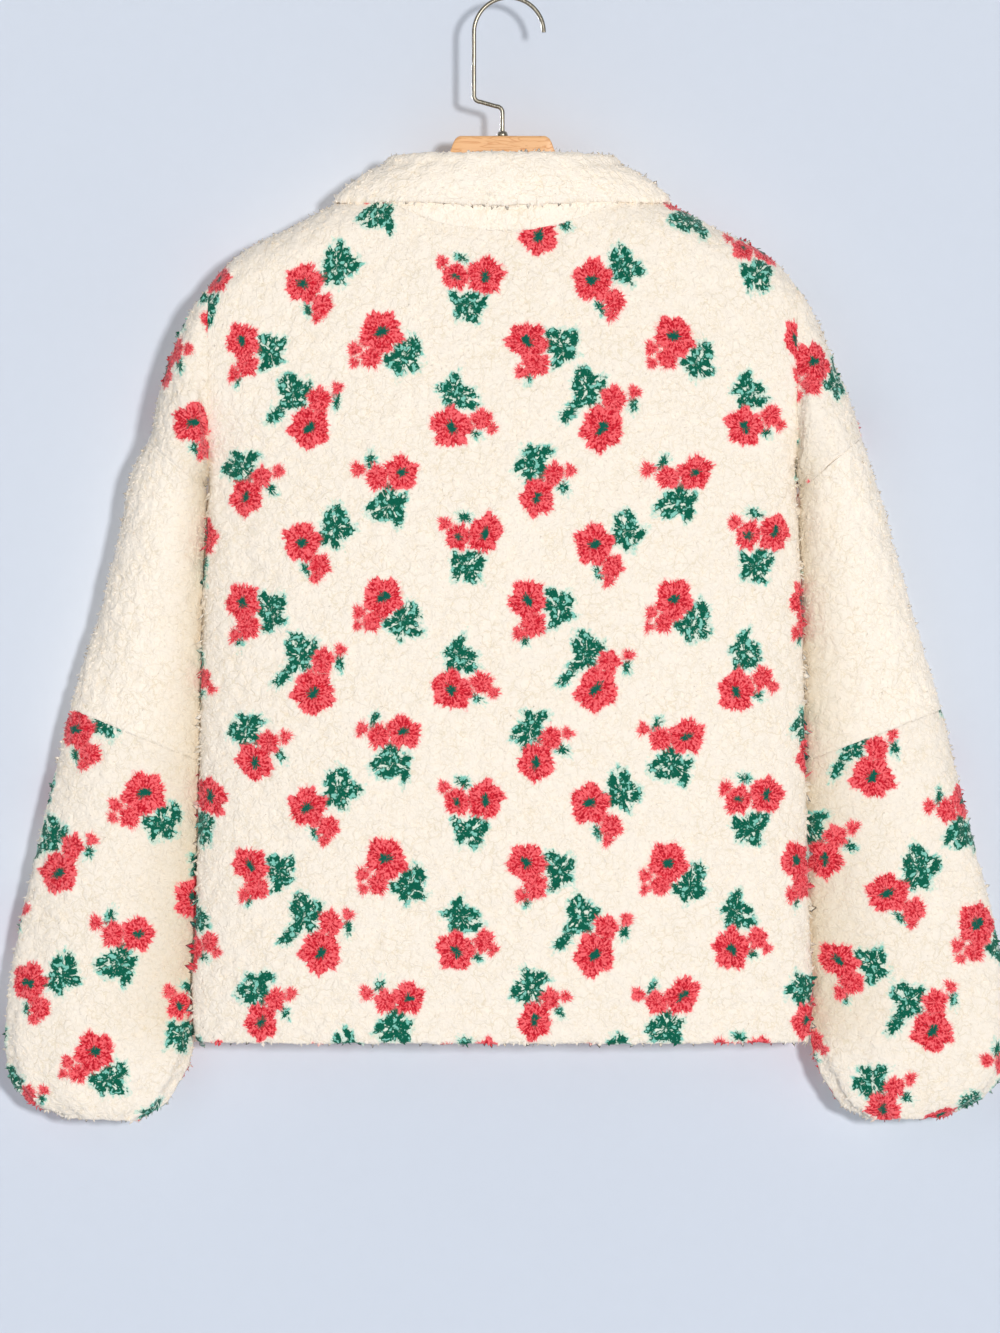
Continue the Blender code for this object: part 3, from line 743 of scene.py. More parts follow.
def store(data, name, values):
    """Keep values on the vertices under a name."""
    kind = "FLOAT_VECTOR" if values.ndim == 2 else "FLOAT"
    attribute = data.attributes.new(name, kind, "POINT")
    attribute.data.foreach_set("vector" if values.ndim == 2 else "value", values.astype(np.float32).ravel())


def flat_cloth(point, middle, zero_row, lean):
    """Tables of the flat cloth under a surface: distance across from a middle share, and down from a row.

    On a tube, which has a lean, the cloth runs along it at that angle from upright instead.
    """
    count = 161
    shares = np.linspace(0, 1, count)
    s, t = np.meshgrid(shares, shares)
    points = point(s.ravel(), t.ravel(), 0.0).reshape(count, count, 3) / MM
    if lean is not None:
        points = points - points[0, round(middle * (count - 1))]
        angle = math.radians(lean)
        along = points[..., 0] * math.sin(angle) - points[..., 2] * math.cos(angle)
        beside = points[..., 0] * math.cos(angle) + points[..., 2] * math.sin(angle)
        steps = np.linalg.norm(np.diff(points, axis=0, prepend=points[:1]), axis=-1)
        along = along[:1] + np.cumsum(steps, axis=0)
        turns = np.hypot(*(np.diff(line, axis=1, prepend=line[:, :1]) for line in (beside, points[..., 1])))
        round_it = np.cumsum(turns, axis=1)
        centre = round(middle * (count - 1))
        outward = np.sign(math.sin(angle))
        return round_it - round_it[:, centre:centre + 1] - outward * beside[:, centre:centre + 1], along
    across = np.cumsum(np.linalg.norm(np.diff(points, axis=1, prepend=points[:, :1]), axis=-1), axis=1)
    down = np.cumsum(np.linalg.norm(np.diff(points, axis=0, prepend=points[:1]), axis=-1), axis=0)
    across -= np.array([np.interp(middle, shares, row) for row in across])[:, None]
    down -= down[round(zero_row * (count - 1))]
    return across, down


def read_table(table, s, t):
    """A table's values between its points."""
    count = table.shape[0] - 1
    column, row = np.clip(s * count, 0, count - 1e-6), np.clip(t * count, 0, count - 1e-6)
    c, r = column.astype(int), row.astype(int)
    fc, fr = column - c, row - r
    upper = table[r, c] * (1 - fc) + table[r, c + 1] * fc
    lower = table[r + 1, c] * (1 - fc) + table[r + 1, c + 1] * fc
    return upper * (1 - fr) + lower * fr


def creased(right, down, creases):
    """Soft troughs and ridges: right, down, turn, half length, half width and height of each."""
    relief = np.zeros_like(right)
    for centre_right, centre_down, turn, half_length, half_width, height in creases:
        angle = math.radians(turn)
        dx, dy = right - centre_right, down - centre_down
        along = dx * math.cos(angle) + dy * math.sin(angle)
        across = dy * math.cos(angle) - dx * math.sin(angle)
        across = across + half_width * 0.5 * np.sin(along / half_length * 2)
        relief += height * np.exp(-((along / half_length) ** 2) - (across / half_width) ** 2)
    return relief


def cloth_shell(name, grid, point, cloth, printed, closed, nap, creases=(), lock=None, valley=None):
    """A piece of fleece: its shell on the cut's surface, with the flat cloth and the print on its vertices.

    The cloth gives the share across where it starts, the share down, 1 or -1 for its side, a tube's lean
    in degrees, and how far right and down the print lies on it.
    """
    columns, rows, ratio = grid
    data = share_mesh(name, columns, rows, ratio, closed)
    shares = vertex_places(data)
    s, t, layer = shares.T
    points = np.where((layer > 0.5)[:, None], point(s, t, WALL), point(s, t, 0.0))
    data.vertices.foreach_set("co", points.astype(np.float32).ravel())
    middle, zero_row, mirror, lean, offset_right, offset_down = cloth
    across, down = flat_cloth(point, middle, zero_row, lean)
    right = read_table(across, s, t) * mirror
    fall = read_table(down, s, t)
    store(data, "cloth", np.stack([right, fall, layer], axis=-1) * MM)
    store(data, "nap", np.where(layer > 0.5, 0.0, nap(s, t, fall)))
    store(data, "relief", np.where(layer > 0.5, 0.0, creased(right, fall, creases)) * MM)
    store(data, "lock", np.ones_like(s) if lock is None else lock(s, t))
    # The valley attribute is the share of painted shade where body and sleeves meet.
    store(data, "valley", np.zeros_like(s) if valley is None else valley(s, t))
    print_down = fall + offset_down
    narrowing = 1 + 0.10 * np.clip((print_down - 225) / 600, 0, 1)
    if printed:
        inks, rays = print_inks((right + offset_right) * narrowing, print_down, lean is None)
        for ink, depth in inks.items():
            store(data, ink, np.clip(depth, NO_INK, -NO_INK) * MM)
        for ink, ray in rays.items():
            store(data, f"{ink}_ray", ray * MM)
    face_outward(data)
    return new_object(name, data)


def settled(piece):
    """Replace a piece's mesh by what its modifiers make of it."""
    graph = bpy.context.evaluated_depsgraph_get()
    data = bpy.data.meshes.new_from_object(
        piece.evaluated_get(graph), preserve_all_data_layers=True, depsgraph=graph
    )
    piece.modifiers.clear()
    old = piece.data
    piece.data = data
    data.name = piece.name
    bpy.data.meshes.remove(old)
    return piece


# Nodes.


class Nodes:
    """Adds nodes to a tree; an input that is a socket is linked, and any other is set."""

    def __init__(self, tree):
        self.tree = tree

    def add(self, kind, inputs=None, **settings):
        node = self.tree.nodes.new(kind)
        for key, value in settings.items():
            setattr(node, key, value)
        for key, value in (inputs or {}).items():
            socket = node.inputs[key]
            if isinstance(value, bpy.types.NodeSocket):
                self.tree.links.new(value, socket)
            else:
                socket.default_value = value
        return node

    def feed(self, node, key, value):
        self.tree.links.new(value, node.inputs[key])

    def named(self, name, kind="FLOAT"):
        """A named attribute of the geometry."""
        return self.add("GeometryNodeInputNamedAttribute", {"Name": name}, data_type=kind).outputs[0]

    def kept(self, geometry, name, value, kind="FLOAT"):
        """The geometry, with a value kept on its points under a name."""
        inputs = {"Geometry": geometry, "Name": name, "Value": value}
        node = self.add("GeometryNodeStoreNamedAttribute", inputs, data_type=kind, domain="POINT")
        return node.outputs[0]

    def math(self, operation, first, second=0.0, third=0.0, clamp=False):
        inputs = {0: first, 1: second, 2: third}
        return self.add("ShaderNodeMath", inputs, operation=operation, use_clamp=clamp).outputs[0]

    def plus(self, first, second, clamp=False):
        return self.math("ADD", first, second, clamp=clamp)

    def minus(self, first, second, clamp=False):
        return self.math("SUBTRACT", first, second, clamp=clamp)

    def times(self, first, second):
        return self.math("MULTIPLY", first, second)

    def weighed(self, *terms, start=0.0):
        """A sum of values, each with its weight."""
        total = start
        for value, weight in terms:
            total = self.math("MULTIPLY_ADD", value, weight, total)
        return total

    def vector(self, operation, first, second=None, third=None, scale=None):
        inputs = {0: first}
        if second is not None:
            inputs[1] = second
        if third is not None:
            inputs[2] = third
        if scale is not None:
            inputs["Scale"] = scale
        node = self.add("ShaderNodeVectorMath", inputs, operation=operation)
        return node.outputs["Value" if operation in ("LENGTH", "DOT_PRODUCT") else "Vector"]

    def ramp(self, value, low, high, start=0.0, end=1.0):
        """A value between low and high, eased into the range from start to end."""
        inputs = {"Value": value, "From Min": low, "From Max": high, "To Min": start, "To Max": end}
        return self.add("ShaderNodeMapRange", inputs, interpolation_type="SMOOTHSTEP").outputs["Result"]

    def blend(self, share, first, second):
        node = self.add("ShaderNodeMix", {0: share, 6: first, 7: second}, data_type="RGBA")
        return node.outputs[2]

    def noise(self, vector, scale, detail=2.0, roughness=0.5, distortion=0.0):
        inputs = {
            "Vector": vector,
            "Scale": scale,
            "Detail": detail,
            "Roughness": roughness,
            "Distortion": distortion,
        }
        return self.add("ShaderNodeTexNoise", inputs)

    def flat_noise(self, vector, scale, detail=2.0, roughness=0.5):
        """Noise over flat cloth, which leaves out the third coordinate."""
        node = self.noise(vector, scale, detail, roughness)
        node.noise_dimensions = "2D"
        return node.outputs


def with_alpha(colour, share=1.0):
    """A colour with full alpha, at a share of its strength."""
    return (*(c * share for c in colour), 1.0)


def new_group(name, kind, inputs, outputs):
    """An empty node group with its sockets; returns it with its input and output nodes."""
    tree = bpy.data.node_groups.new(name, kind)
    for direction, sockets in (("INPUT", inputs), ("OUTPUT", outputs)):
        for socket, kind_of in sockets:
            tree.interface.new_socket(socket, in_out=direction, socket_type=f"NodeSocket{kind_of}")
    nodes = Nodes(tree)
    return nodes, nodes.add("NodeGroupInput").outputs, nodes.add("NodeGroupOutput").inputs


def curl_height(nodes, place_socket, size):
    """The height of round curls, each a little dome, from 0 in the crevices to 1."""
    cell = nodes.add(
        "ShaderNodeTexVoronoi",
        {"Vector": place_socket, "Scale": 1 / size, "Randomness": 1.0},
        feature="F1",
    )
    dome = nodes.times(cell.outputs["Distance"], 1.22)
    return nodes.minus(1.0, nodes.math("POWER", dome, 2.0), clamp=True)


SWELL_HEIGHT = 0.001


def pile_group():
    """Raises the curls of the pile along the cloth's normal and keeps their height as an attribute."""
    fleece = bpy.context.scene.sweatshirt_fleece
    nodes, given, made = new_group(
        "raise_pile", "GeometryNodeTree", [("Geometry", "Geometry")], [("Geometry", "Geometry")]
    )
    position = nodes.add("GeometryNodeInputPosition").outputs[0]
    normal = nodes.add("GeometryNodeInputNormal").outputs[0]
    nap, relief = nodes.named("nap"), nodes.named("relief")
    stir = nodes.noise(position, 110.0, 2.0).outputs["Color"]
    stir = nodes.vector("SCALE", nodes.vector("SUBTRACT", stir, (0.5, 0.5, 0.5)), scale=0.011)
    stirred = nodes.vector("ADD", position, stir)
    large = curl_height(nodes, stirred, fleece.curl_size)
    fine = curl_height(nodes, stirred, fleece.curl_size * 0.45)
    swell = nodes.noise(position, 30.0, 2.0).outputs["Fac"]
    height = nodes.times(large, fleece.curl_height)
    height = nodes.plus(height, nodes.times(fine, fleece.fine_height))
    height = nodes.plus(height, nodes.times(swell, SWELL_HEIGHT))
    sunk = fleece.curl_height * 0.55 + fleece.fine_height * 0.5 + SWELL_HEIGHT * 0.5
    height = nodes.times(nodes.minus(height, sunk), nap)
    offset = nodes.vector("SCALE", normal, scale=nodes.plus(height, relief))
    # The pile's height is kept so that the wool can be painted darker, as shade, at the foot of the curls.
    pile = nodes.plus(nodes.times(large, 0.75), nodes.times(fine, 0.25))
    kept = nodes.kept(given[0], "pile", pile)
    raised = nodes.add("GeometryNodeSetPosition", {"Geometry": kept, "Offset": offset})
    nodes.tree.links.new(raised.outputs[0], made[0])
    return nodes.tree


def tuft_group():
    """Sets loose locks on the raised pile, each a small flat scale that leans its own way, mostly down."""
    fleece = bpy.context.scene.sweatshirt_fleece
    nodes, given, made = new_group(
        "set_tufts", "GeometryNodeTree", [("Geometry", "Geometry")], [("Geometry", "Geometry")]
    )
    nap, lock_size = nodes.named("nap"), nodes.named("lock")
    points = nodes.add(
        "GeometryNodeDistributePointsOnFaces",
        {
            "Mesh": given[0],
            "Selection": nodes.math("GREATER_THAN", nap, 0.02),
            "Distance Min": fleece.tuft_spacing,
            "Density Max": 1.2 / fleece.tuft_spacing**2,
            "Seed": fleece.seed,
        },
        distribute_method="POISSON",
    )
    lock = nodes.add("GeometryNodeMeshUVSphere", {"Segments": 4, "Rings": 2, "Radius": 1.0}).outputs["Mesh"]
    lock = nodes.add(
        "GeometryNodeTransform", {"Geometry": lock, "Translation": (0.0, 0.0, 0.3), "Scale": (1.0, 1.0, 0.7)}
    ).outputs[0]
    # The tufts are kept at full pile height, so no painted crevice shade falls on them.
    lock = nodes.kept(lock, "pile", 1.0)
    lean = nodes.add(
        "FunctionNodeRandomValue",
        {0: (-1.0, -1.0, -1.5), 1: (1.0, 1.0, 0.7), "Seed": fleece.seed + 1},
        data_type="FLOAT_VECTOR",
    ).outputs[0]
    normal = points.outputs["Normal"]
    heading = nodes.vector("ADD", nodes.vector("SCALE", normal, scale=0.6), lean)
    turned = nodes.add("FunctionNodeAlignRotationToVector", {"Vector": heading}, axis="Z").outputs[0]
    turned = nodes.add(
        "FunctionNodeAlignRotationToVector", {"Rotation": turned, "Vector": normal}, axis="Y", pivot_axis="Z"
    ).outputs[0]
    size = nodes.add(
        "FunctionNodeRandomValue", {2: 0.65, 3: 1.2, "Seed": fleece.seed + 2}, data_type="FLOAT"
    ).outputs[1]
    size = nodes.times(size, lock_size)
    width = nodes.times(size, fleece.tuft_radius)
    length = nodes.times(size, fleece.tuft_length)
    thickness = nodes.times(width, 0.28)
    scale = nodes.add("ShaderNodeCombineXYZ", {0: width, 1: thickness, 2: length}).outputs[0]
    rooted = nodes.kept(points.outputs["Points"], "root", normal, "FLOAT_VECTOR")
    copies = nodes.add(
        "GeometryNodeInstanceOnPoints",
        {"Points": rooted, "Instance": lock, "Rotation": turned, "Scale": scale},
    )
    geometry = nodes.add("GeometryNodeRealizeInstances", {0: copies.outputs[0]}).outputs[0]
    place_socket = nodes.add("GeometryNodeInputPosition").outputs[0]
    carried = [(name, "FLOAT_VECTOR") for name in ("cloth", "petal_ray", "leaf_ray")]
    carried += [(name, "FLOAT") for name in ("petal", "leaf", "heart", "valley")]
    for name, kind in carried:
        below = nodes.add(
            "GeometryNodeSampleNearestSurface",
            {"Mesh": given[0], "Value": nodes.named(name, kind), "Sample Position": place_socket},
            data_type=kind,
        ).outputs[0]
        geometry = nodes.kept(geometry, name, below, kind)
    geometry = nodes.add("GeometryNodeSetShadeSmooth", {0: geometry}).outputs[0]
    root = nodes.named("root", "FLOAT_VECTOR")
    own = nodes.add("GeometryNodeInputNormal").outputs[0]
    upper = nodes.math("MULTIPLY_ADD", nodes.vector("DOT_PRODUCT", own, root), 1.5, 0.5)
    upper = nodes.math("MINIMUM", upper, 1.0)
    facing = nodes.vector("MULTIPLY_ADD", root, (0.8, 1.3, 0.8), third=(0.0, 0.0, 0.2))
    facing = nodes.vector("SCALE", facing, scale=upper)
    own = nodes.vector("SCALE", own, scale=0.3)
    soft = nodes.add(
        "GeometryNodeSetMeshNormal",
        {"Mesh": geometry, "Custom Normal": nodes.vector("NORMALIZE", nodes.vector("ADD", facing, own))},
        mode="FREE",
    )
    nodes.tree.links.new(soft.outputs[0], made[0])
    return nodes.tree


def with_nodes(piece, group):
    modifier = piece.modifiers.new(group.name, "NODES")
    modifier.node_group = group
    return piece


# Shader groups, each an effect that several finishes share.


def wool_group():
    """Wool between its top colour and a painted crevice shade in the thin gaps between its locks and at the
    pile's foot, with painted shade in the valleys between body and sleeves, and the locks' height.
    """
    nodes, given, made = new_group(
        "wool",
        "ShaderNodeTree",
        [("Cloth", "Vector"), ("Pile", "Float"), ("Valley", "Float")]
        + [(name, "Color") for name in ("Top", "Crevice", "Shade")],
        [("Color", "Color"), ("Height", "Float")],
    )
    stir = nodes.flat_noise(given["Cloth"], 130.0, 2.0)["Color"]
    stir = nodes.vector("SCALE", nodes.vector("SUBTRACT", stir, (0.5, 0.5, 0.5)), scale=0.011)
    stirred = nodes.vector("ADD", given["Cloth"], stir)

    def cracks(size, width, patches):
        """How deep in the thin gaps between locks of a size, which show only in patches: the mask of the
        painted shade in these gaps.
        """
        rim = nodes.add(
            "ShaderNodeTexVoronoi",
            {"Vector": stirred, "Scale": 1 / size, "Randomness": 1.0},
            feature="DISTANCE_TO_EDGE",
            voronoi_dimensions="2D",
        ).outputs["Distance"]
        broken = nodes.ramp(nodes.flat_noise(given["Cloth"], patches, 1.0)["Fac"], 0.36, 0.62)
        return nodes.times(nodes.ramp(rim, 0.0, width, 1.0, 0.0), broken), rim

    wide, rim = cracks(0.0095, 0.085, 34.0)
    fine, fine_rim = cracks(0.0048, 0.12, 61.0)
    fibre = nodes.flat_noise(given["Cloth"], 700.0, 2.0, 0.6)["Fac"]
    # Painted crevice shade: darker wool in the thin gaps between locks and where the pile is low.
    line = nodes.math("MAXIMUM", nodes.times(wide, 0.54), nodes.times(fine, 0.36))
    lift = nodes.plus(given["Pile"], nodes.times(nodes.minus(fibre, 0.5), 0.3))
    sunk = nodes.math("MAXIMUM", nodes.ramp(lift, 0.0, 0.3, 0.3, 0.0), line)
    colour = nodes.blend(sunk, given["Top"], given["Crevice"])
    # Painted shade in the valleys between body and sleeves.
    colour = nodes.blend(given["Valley"], colour, given["Shade"])
    curl = nodes.flat_noise(given["Cloth"], 330.0, 2.0, 0.55)["Fac"]
    locks, fine_locks = nodes.ramp(rim, 0.0, 0.3), nodes.ramp(fine_rim, 0.0, 0.35)
    height = nodes.weighed((locks, 0.55), (fine_locks, 0.45), (curl, 0.3), (fibre, 0.12))
    nodes.tree.links.new(colour, made["Color"])
    nodes.tree.links.new(height, made["Height"])
    return nodes.tree


def ink_group():
    """The sprigs' inks over the wool, their outlines broken up by the fibres."""
    colours = ("Ground", "Petal", "Blush", "Leaf", "Mint", "Heart")
    depths = ("Petal Depth", "Leaf Depth", "Heart Depth")
    vectors = ("Cloth", "Petal Ray", "Leaf Ray")
    nodes, given, made = new_group(
        "inks",
        "ShaderNodeTree",
        [(name, "Vector") for name in vectors]
        + [(name, "Float") for name in depths]
        + [(name, "Color") for name in colours],
        [("Color", "Color")],
    )

    def strands(ray, size):
        """Noise drawn out along the rays from a middle, from -0.5 to 0.5."""
        reach = nodes.times(nodes.vector("LENGTH", given[ray]), 0.25)
        round_it = nodes.vector("SCALE", nodes.vector("NORMALIZE", given[ray]), scale=0.011)
        middle = nodes.vector("SUBTRACT", given["Cloth"], given[ray])
        outward = nodes.add("ShaderNodeCombineXYZ", {2: reach}).outputs[0]
        where = nodes.vector("ADD", nodes.vector("ADD", round_it, middle), outward)
        return nodes.minus(nodes.noise(where, 1 / size, 2.0, 0.6).outputs["Fac"], 0.5)

    clump = nodes.minus(nodes.flat_noise(given["Cloth"], 210.0, 2.0)["Fac"], 0.5)
    speck = nodes.minus(nodes.flat_noise(given["Cloth"], 520.0, 1.0)["Fac"], 0.5)
    petal_strand, leaf_strand = strands("Petal Ray", 0.0017), strands("Leaf Ray", 0.0026)
    # How far the fibres push each outline out and in, in metres.
    petal_edge = nodes.weighed((petal_strand, 0.0095), (clump, 0.003), (speck, 0.002))
    leaf_edge = nodes.weighed((leaf_strand, 0.0072), (clump, 0.0060), (speck, 0.0025))
    heart_edge = nodes.weighed((petal_strand, 0.011), (clump, 0.005))

    def mask(depth, edge, low=-0.0005, high=0.0005, share=1.0):
        """How far an ink covers the wool: from none at the low depth to its share at the high one."""
        covered = nodes.ramp(nodes.plus(given[depth], edge), low, high)
        return covered if share == 1.0 else nodes.times(covered, share)

    gap = nodes.ramp(nodes.weighed((clump, 1.0), (leaf_strand, 0.3), (speck, 0.25)), 0.08, 0.18)
    haze = mask("Leaf Depth", leaf_edge, -0.0032, -0.0008, 0.45)
    colour = nodes.blend(haze, given["Ground"], given["Mint"])
    leaf = nodes.blend(nodes.times(gap, 0.8), given["Leaf"], given["Mint"])
    colour = nodes.blend(mask("Leaf Depth", leaf_edge, -0.0009, 0.0001), colour, leaf)
    colour = nodes.blend(mask("Petal Depth", petal_edge, -0.0024, 0.0, 0.4), colour, given["Blush"])
    pale = nodes.weighed((petal_strand, 4.2), (speck, 2.8), (clump, 1.6), start=0.4)
    petal = nodes.blend(pale, given["Petal"], given["Blush"])
    furrow = nodes.ramp(nodes.weighed((petal_strand, 1.0), (speck, 0.8)), -0.16, -0.06, 0.8, 0.0)
    petal = nodes.blend(furrow, petal, nodes.vector("SCALE", given["Petal"], scale=0.62))
    colour = nodes.blend(mask("Petal Depth", petal_edge), colour, petal)
    colour = nodes.blend(mask("Heart Depth", heart_edge), colour, given["Heart"])
    nodes.tree.links.new(colour, made["Color"])
    return nodes.tree


def shared_group(name, build):
    return bpy.data.node_groups.get(name) or build()


def new_material(name, roughness, metallic=0.0, **constants):
    """A material with its Principled shader; the other constants go on the shader's own sockets."""
    material = bpy.data.materials.new(name)
    material.use_nodes = True
    nodes = Nodes(material.node_tree)
    shader = material.node_tree.nodes["Principled BSDF"]
    shader.inputs["Roughness"].default_value = roughness
    shader.inputs["Metallic"].default_value = metallic
    for key, value in constants.items():
        shader.inputs[key.replace("_", " ").title().replace("Ior", "IOR")].default_value = value
    return material, nodes, shader


def bump(nodes, shader, height, distance, strength=1.0):
    node = nodes.add("ShaderNodeBump", {"Height": height, "Distance": distance, "Strength": strength})
    nodes.tree.links.new(node.outputs["Normal"], shader.inputs["Normal"])


def read(nodes, name, output="Fac"):
    return nodes.add("ShaderNodeAttribute", attribute_name=name).outputs[output]


# How pale the printed pieces' ground is beside the plain wool.
PRINTED_GROUND = 0.955


def fleece_material(printed):
    """Teddy fleece, plain or printed."""
    name = "sprigged_teddy" if printed else "plain_teddy"
    found = bpy.data.materials.get(name)
    if found:
        return found
    fleece, inks = bpy.context.scene.sweatshirt_fleece, bpy.context.scene.sweatshirt_print
    material, nodes, shader = new_material(
        name, 0.95, specular_ior_level=0.1, sheen_weight=0.28, sheen_roughness=0.5
    )
    cloth = read(nodes, "cloth", "Vector")
    wool = nodes.add("ShaderNodeGroup", node_tree=shared_group("wool", wool_group))
    for key, value in (("Cloth", cloth), ("Pile", read(nodes, "pile")), ("Valley", read(nodes, "valley"))):
        nodes.tree.links.new(value, wool.inputs[key])
    wool.inputs["Top"].default_value = with_alpha(fleece.cream, PRINTED_GROUND if printed else 1.0)
    wool.inputs["Crevice"].default_value = with_alpha(fleece.crevice)
    wool.inputs["Shade"].default_value = with_alpha(fleece.shade)
    colour = wool.outputs["Color"]
    if printed:
        ink = nodes.add("ShaderNodeGroup", node_tree=shared_group("inks", ink_group))
        links = {
            "Cloth": cloth,
            "Ground": colour,
            "Petal Ray": read(nodes, "petal_ray", "Vector"),
            "Leaf Ray": read(nodes, "leaf_ray", "Vector"),
            "Petal Depth": read(nodes, "petal"),
            "Leaf Depth": read(nodes, "leaf"),
            "Heart Depth": read(nodes, "heart"),
        }
        for key, value in links.items():
            nodes.tree.links.new(value, ink.inputs[key])
        for key in ("petal", "blush", "leaf", "mint", "heart"):
            ink.inputs[key.title()].default_value = with_alpha(getattr(inks, key))
        colour = ink.outputs["Color"]
    nodes.feed(shader, "Base Color", colour)
    bump(nodes, shader, wool.outputs["Height"], 0.0012, 0.5)
    return material


def backing_material():
    """The knitted backing on the fleece's inside: fine upright ribs of small stitches."""
    found = bpy.data.materials.get("knit_backing")
    if found:
        return found
    material, nodes, shader = new_material("knit_backing", 0.9, specular_ior_level=0.2)
    cloth = nodes.add("ShaderNodeSeparateXYZ", {0: read(nodes, "cloth", "Vector")}).outputs
    wale = nodes.times(cloth[0], 2 * math.pi / 0.0016)
    course = nodes.times(cloth[1], 2 * math.pi / 0.0013)
    leaning = nodes.math("ABSOLUTE", nodes.math("SINE", wale))
    slant = nodes.plus(course, nodes.times(leaning, 2.0))
    stitch = nodes.times(nodes.math("SINE", slant), 0.5)
    rib = nodes.times(nodes.math("COSINE", nodes.times(wale, 2.0)), 0.5)
    height = nodes.plus(nodes.plus(stitch, rib), 1.0)
    backing = bpy.context.scene.sweatshirt_fleece.backing
    # Painted shade: the backing is darker where its stitches lie low.
    colour = nodes.blend(nodes.ramp(height, 0.0, 1.6), with_alpha(backing, 0.8), with_alpha(backing))
    nodes.feed(shader, "Base Color", colour)
    bump(nodes, shader, height, 0.0003, 0.6)
    return material


# The fleece pieces.


def fleece_piece(shell, node, material_slot):
    """Raise a shell's pile, set its tufts, and hand both over to the frame."""
    printed = material_slot == "printed_fleece"
    finish = fleece_material(printed)
    shell.data.materials.append(finish)
    shell.data.materials.append(backing_material())
    with_nodes(shell, shared_group("raise_pile", pile_group))
    settled(shell)
    tufts = new_object(f"{shell.name}_tufts", shell.data.copy())
    with_nodes(tufts, shared_group("set_tufts", tuft_group))
    settled(tufts)
    tufts.data.materials.clear()
    tufts.data.materials.append(finish)
    tufts.visible_shadow = False
    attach(tufts, "root")
    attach(shell, "root")
    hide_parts(node)
    return shell


def seam_fade(distance, reach=3.0):
    """How much of the pile stands at a distance from a seam."""
    return smooth_step((distance + 0.3) / reach) * (distance > 1e-4)


# columns, rows and how many times coarser the inside is
PANEL_GRID = (228, 292, 4)
# length of cloth in millimetres for a whole share: across, down by the top edge and down by the hem
PANEL_ACROSS, PANEL_BY_TOP, PANEL_BY_HEM = 524.0, 700.0, 660.0
SLEEVE_ROUND = 220.0
# how much larger the tufts are by the hem and by the sides
HEM_LOCK, SIDE_LOCK = 0.5, 1.4
# how strong the painted shade is in the valleys between body and sleeves, and its reach in millimetres
PANEL_VALLEY = (0.5, 5.0)
SLEEVE_VALLEY = (0.8, 34.0)


# The share of painted shade at a distance from the edge where body and sleeve meet.
def valley_shade(edge, valley):
    strength, reach = valley
    return strength * np.exp(-((edge / reach) ** 2))


class SWEATSHIRT_OT_body(bpy.types.Operator):
    """Make the back and the front, each one cut of printed fleece"""

    bl_idname = "sweatshirt.body"
    bl_label = "Back and front"

    # right, down, turn, half length, half width and height of the soft folds
    creases = {
        "back": (
            (-196, 452, 78, 60, 9, -1.6),
            (-180, 640, 86, 80, 12, -1.3),
            (190, 470, 100, 70, 9, -1.6),
            (176, 660, 94, 90, 13, -1.4),
            (-60, 740, 88, 60, 16, -1.2),
            (70, 760, 92, 45, 14, -1.1),
            (0, 640, 90, 110, 30, 0.9),
        ),
        "front": (
            (-150, 430, 62, 60, 10, -1.8),
            (150, 440, 118, 66, 10, -1.8),
            (-70, 560, 78, 90, 14, -1.5),
            (84, 590, 100, 84, 15, -1.4),
            (-10, 700, 90, 70, 18, -1.3),
            (-190, 640, 88, 80, 12, -1.4),
            (186, 660, 92, 80, 12, -1.4),
        ),
    }
    offsets = {"back": (0.0, 373.0), "front": (96.0, 430.0)}
    flats = {"back": ((0.52, 0.69), 0.318), "front": ((0.49, 0.69), 0.304)}

    def execute(self, context):
        for panel in ("back", "front"):

            def point(s, t, inset, panel=panel):
                return panel_point(panel, s, t, inset)

            def nap(s, t, down):
                """How much of the pile stands: less at the seams and at the hem's stitching."""
                side_edge = np.minimum(s, 1 - s) * PANEL_ACROSS
                stitch = np.exp(-(((down - (HEM_STITCH_DROP - UNDERARM_DROP)) / 3.0) ** 2))
                return seam_fade(side_edge) * seam_fade(t * PANEL_BY_TOP, 4.0) * (1 - 0.75 * stitch)

            def lock(s, t):
                """How large the tufts are."""
                hem = HEM_LOCK * (1 - smooth_step(((1 - t) * PANEL_BY_HEM + 3) / 8))
                side = SIDE_LOCK * (1 - smooth_step(np.minimum(s, 1 - s) * PANEL_ACROSS / 9))
                return 1 + np.maximum(hem, side * smooth_step((t - 0.2) / 0.15))

            # Painted shade along the side edges, where the sleeves meet the body.
            def valley(s, t):
                edge = np.minimum(s, 1 - s) * PANEL_ACROSS
                return valley_shade(edge, PANEL_VALLEY) * smooth_step(t / 0.2)

            mirror = -1 if panel == "back" else 1
            cloth = (0.5, PANEL_STOPS[1], mirror, None, *self.offsets[panel])
            creases = [(r, d - UNDERARM_DROP, *rest) for r, d, *rest in self.creases[panel]]
            name = f"{panel}_fleece"
            shell = cloth_shell(name, PANEL_GRID, point, cloth, True, False, nap, creases, lock, valley)
            fleece_piece(shell, panel, "printed_fleece")
        return {"FINISHED"}


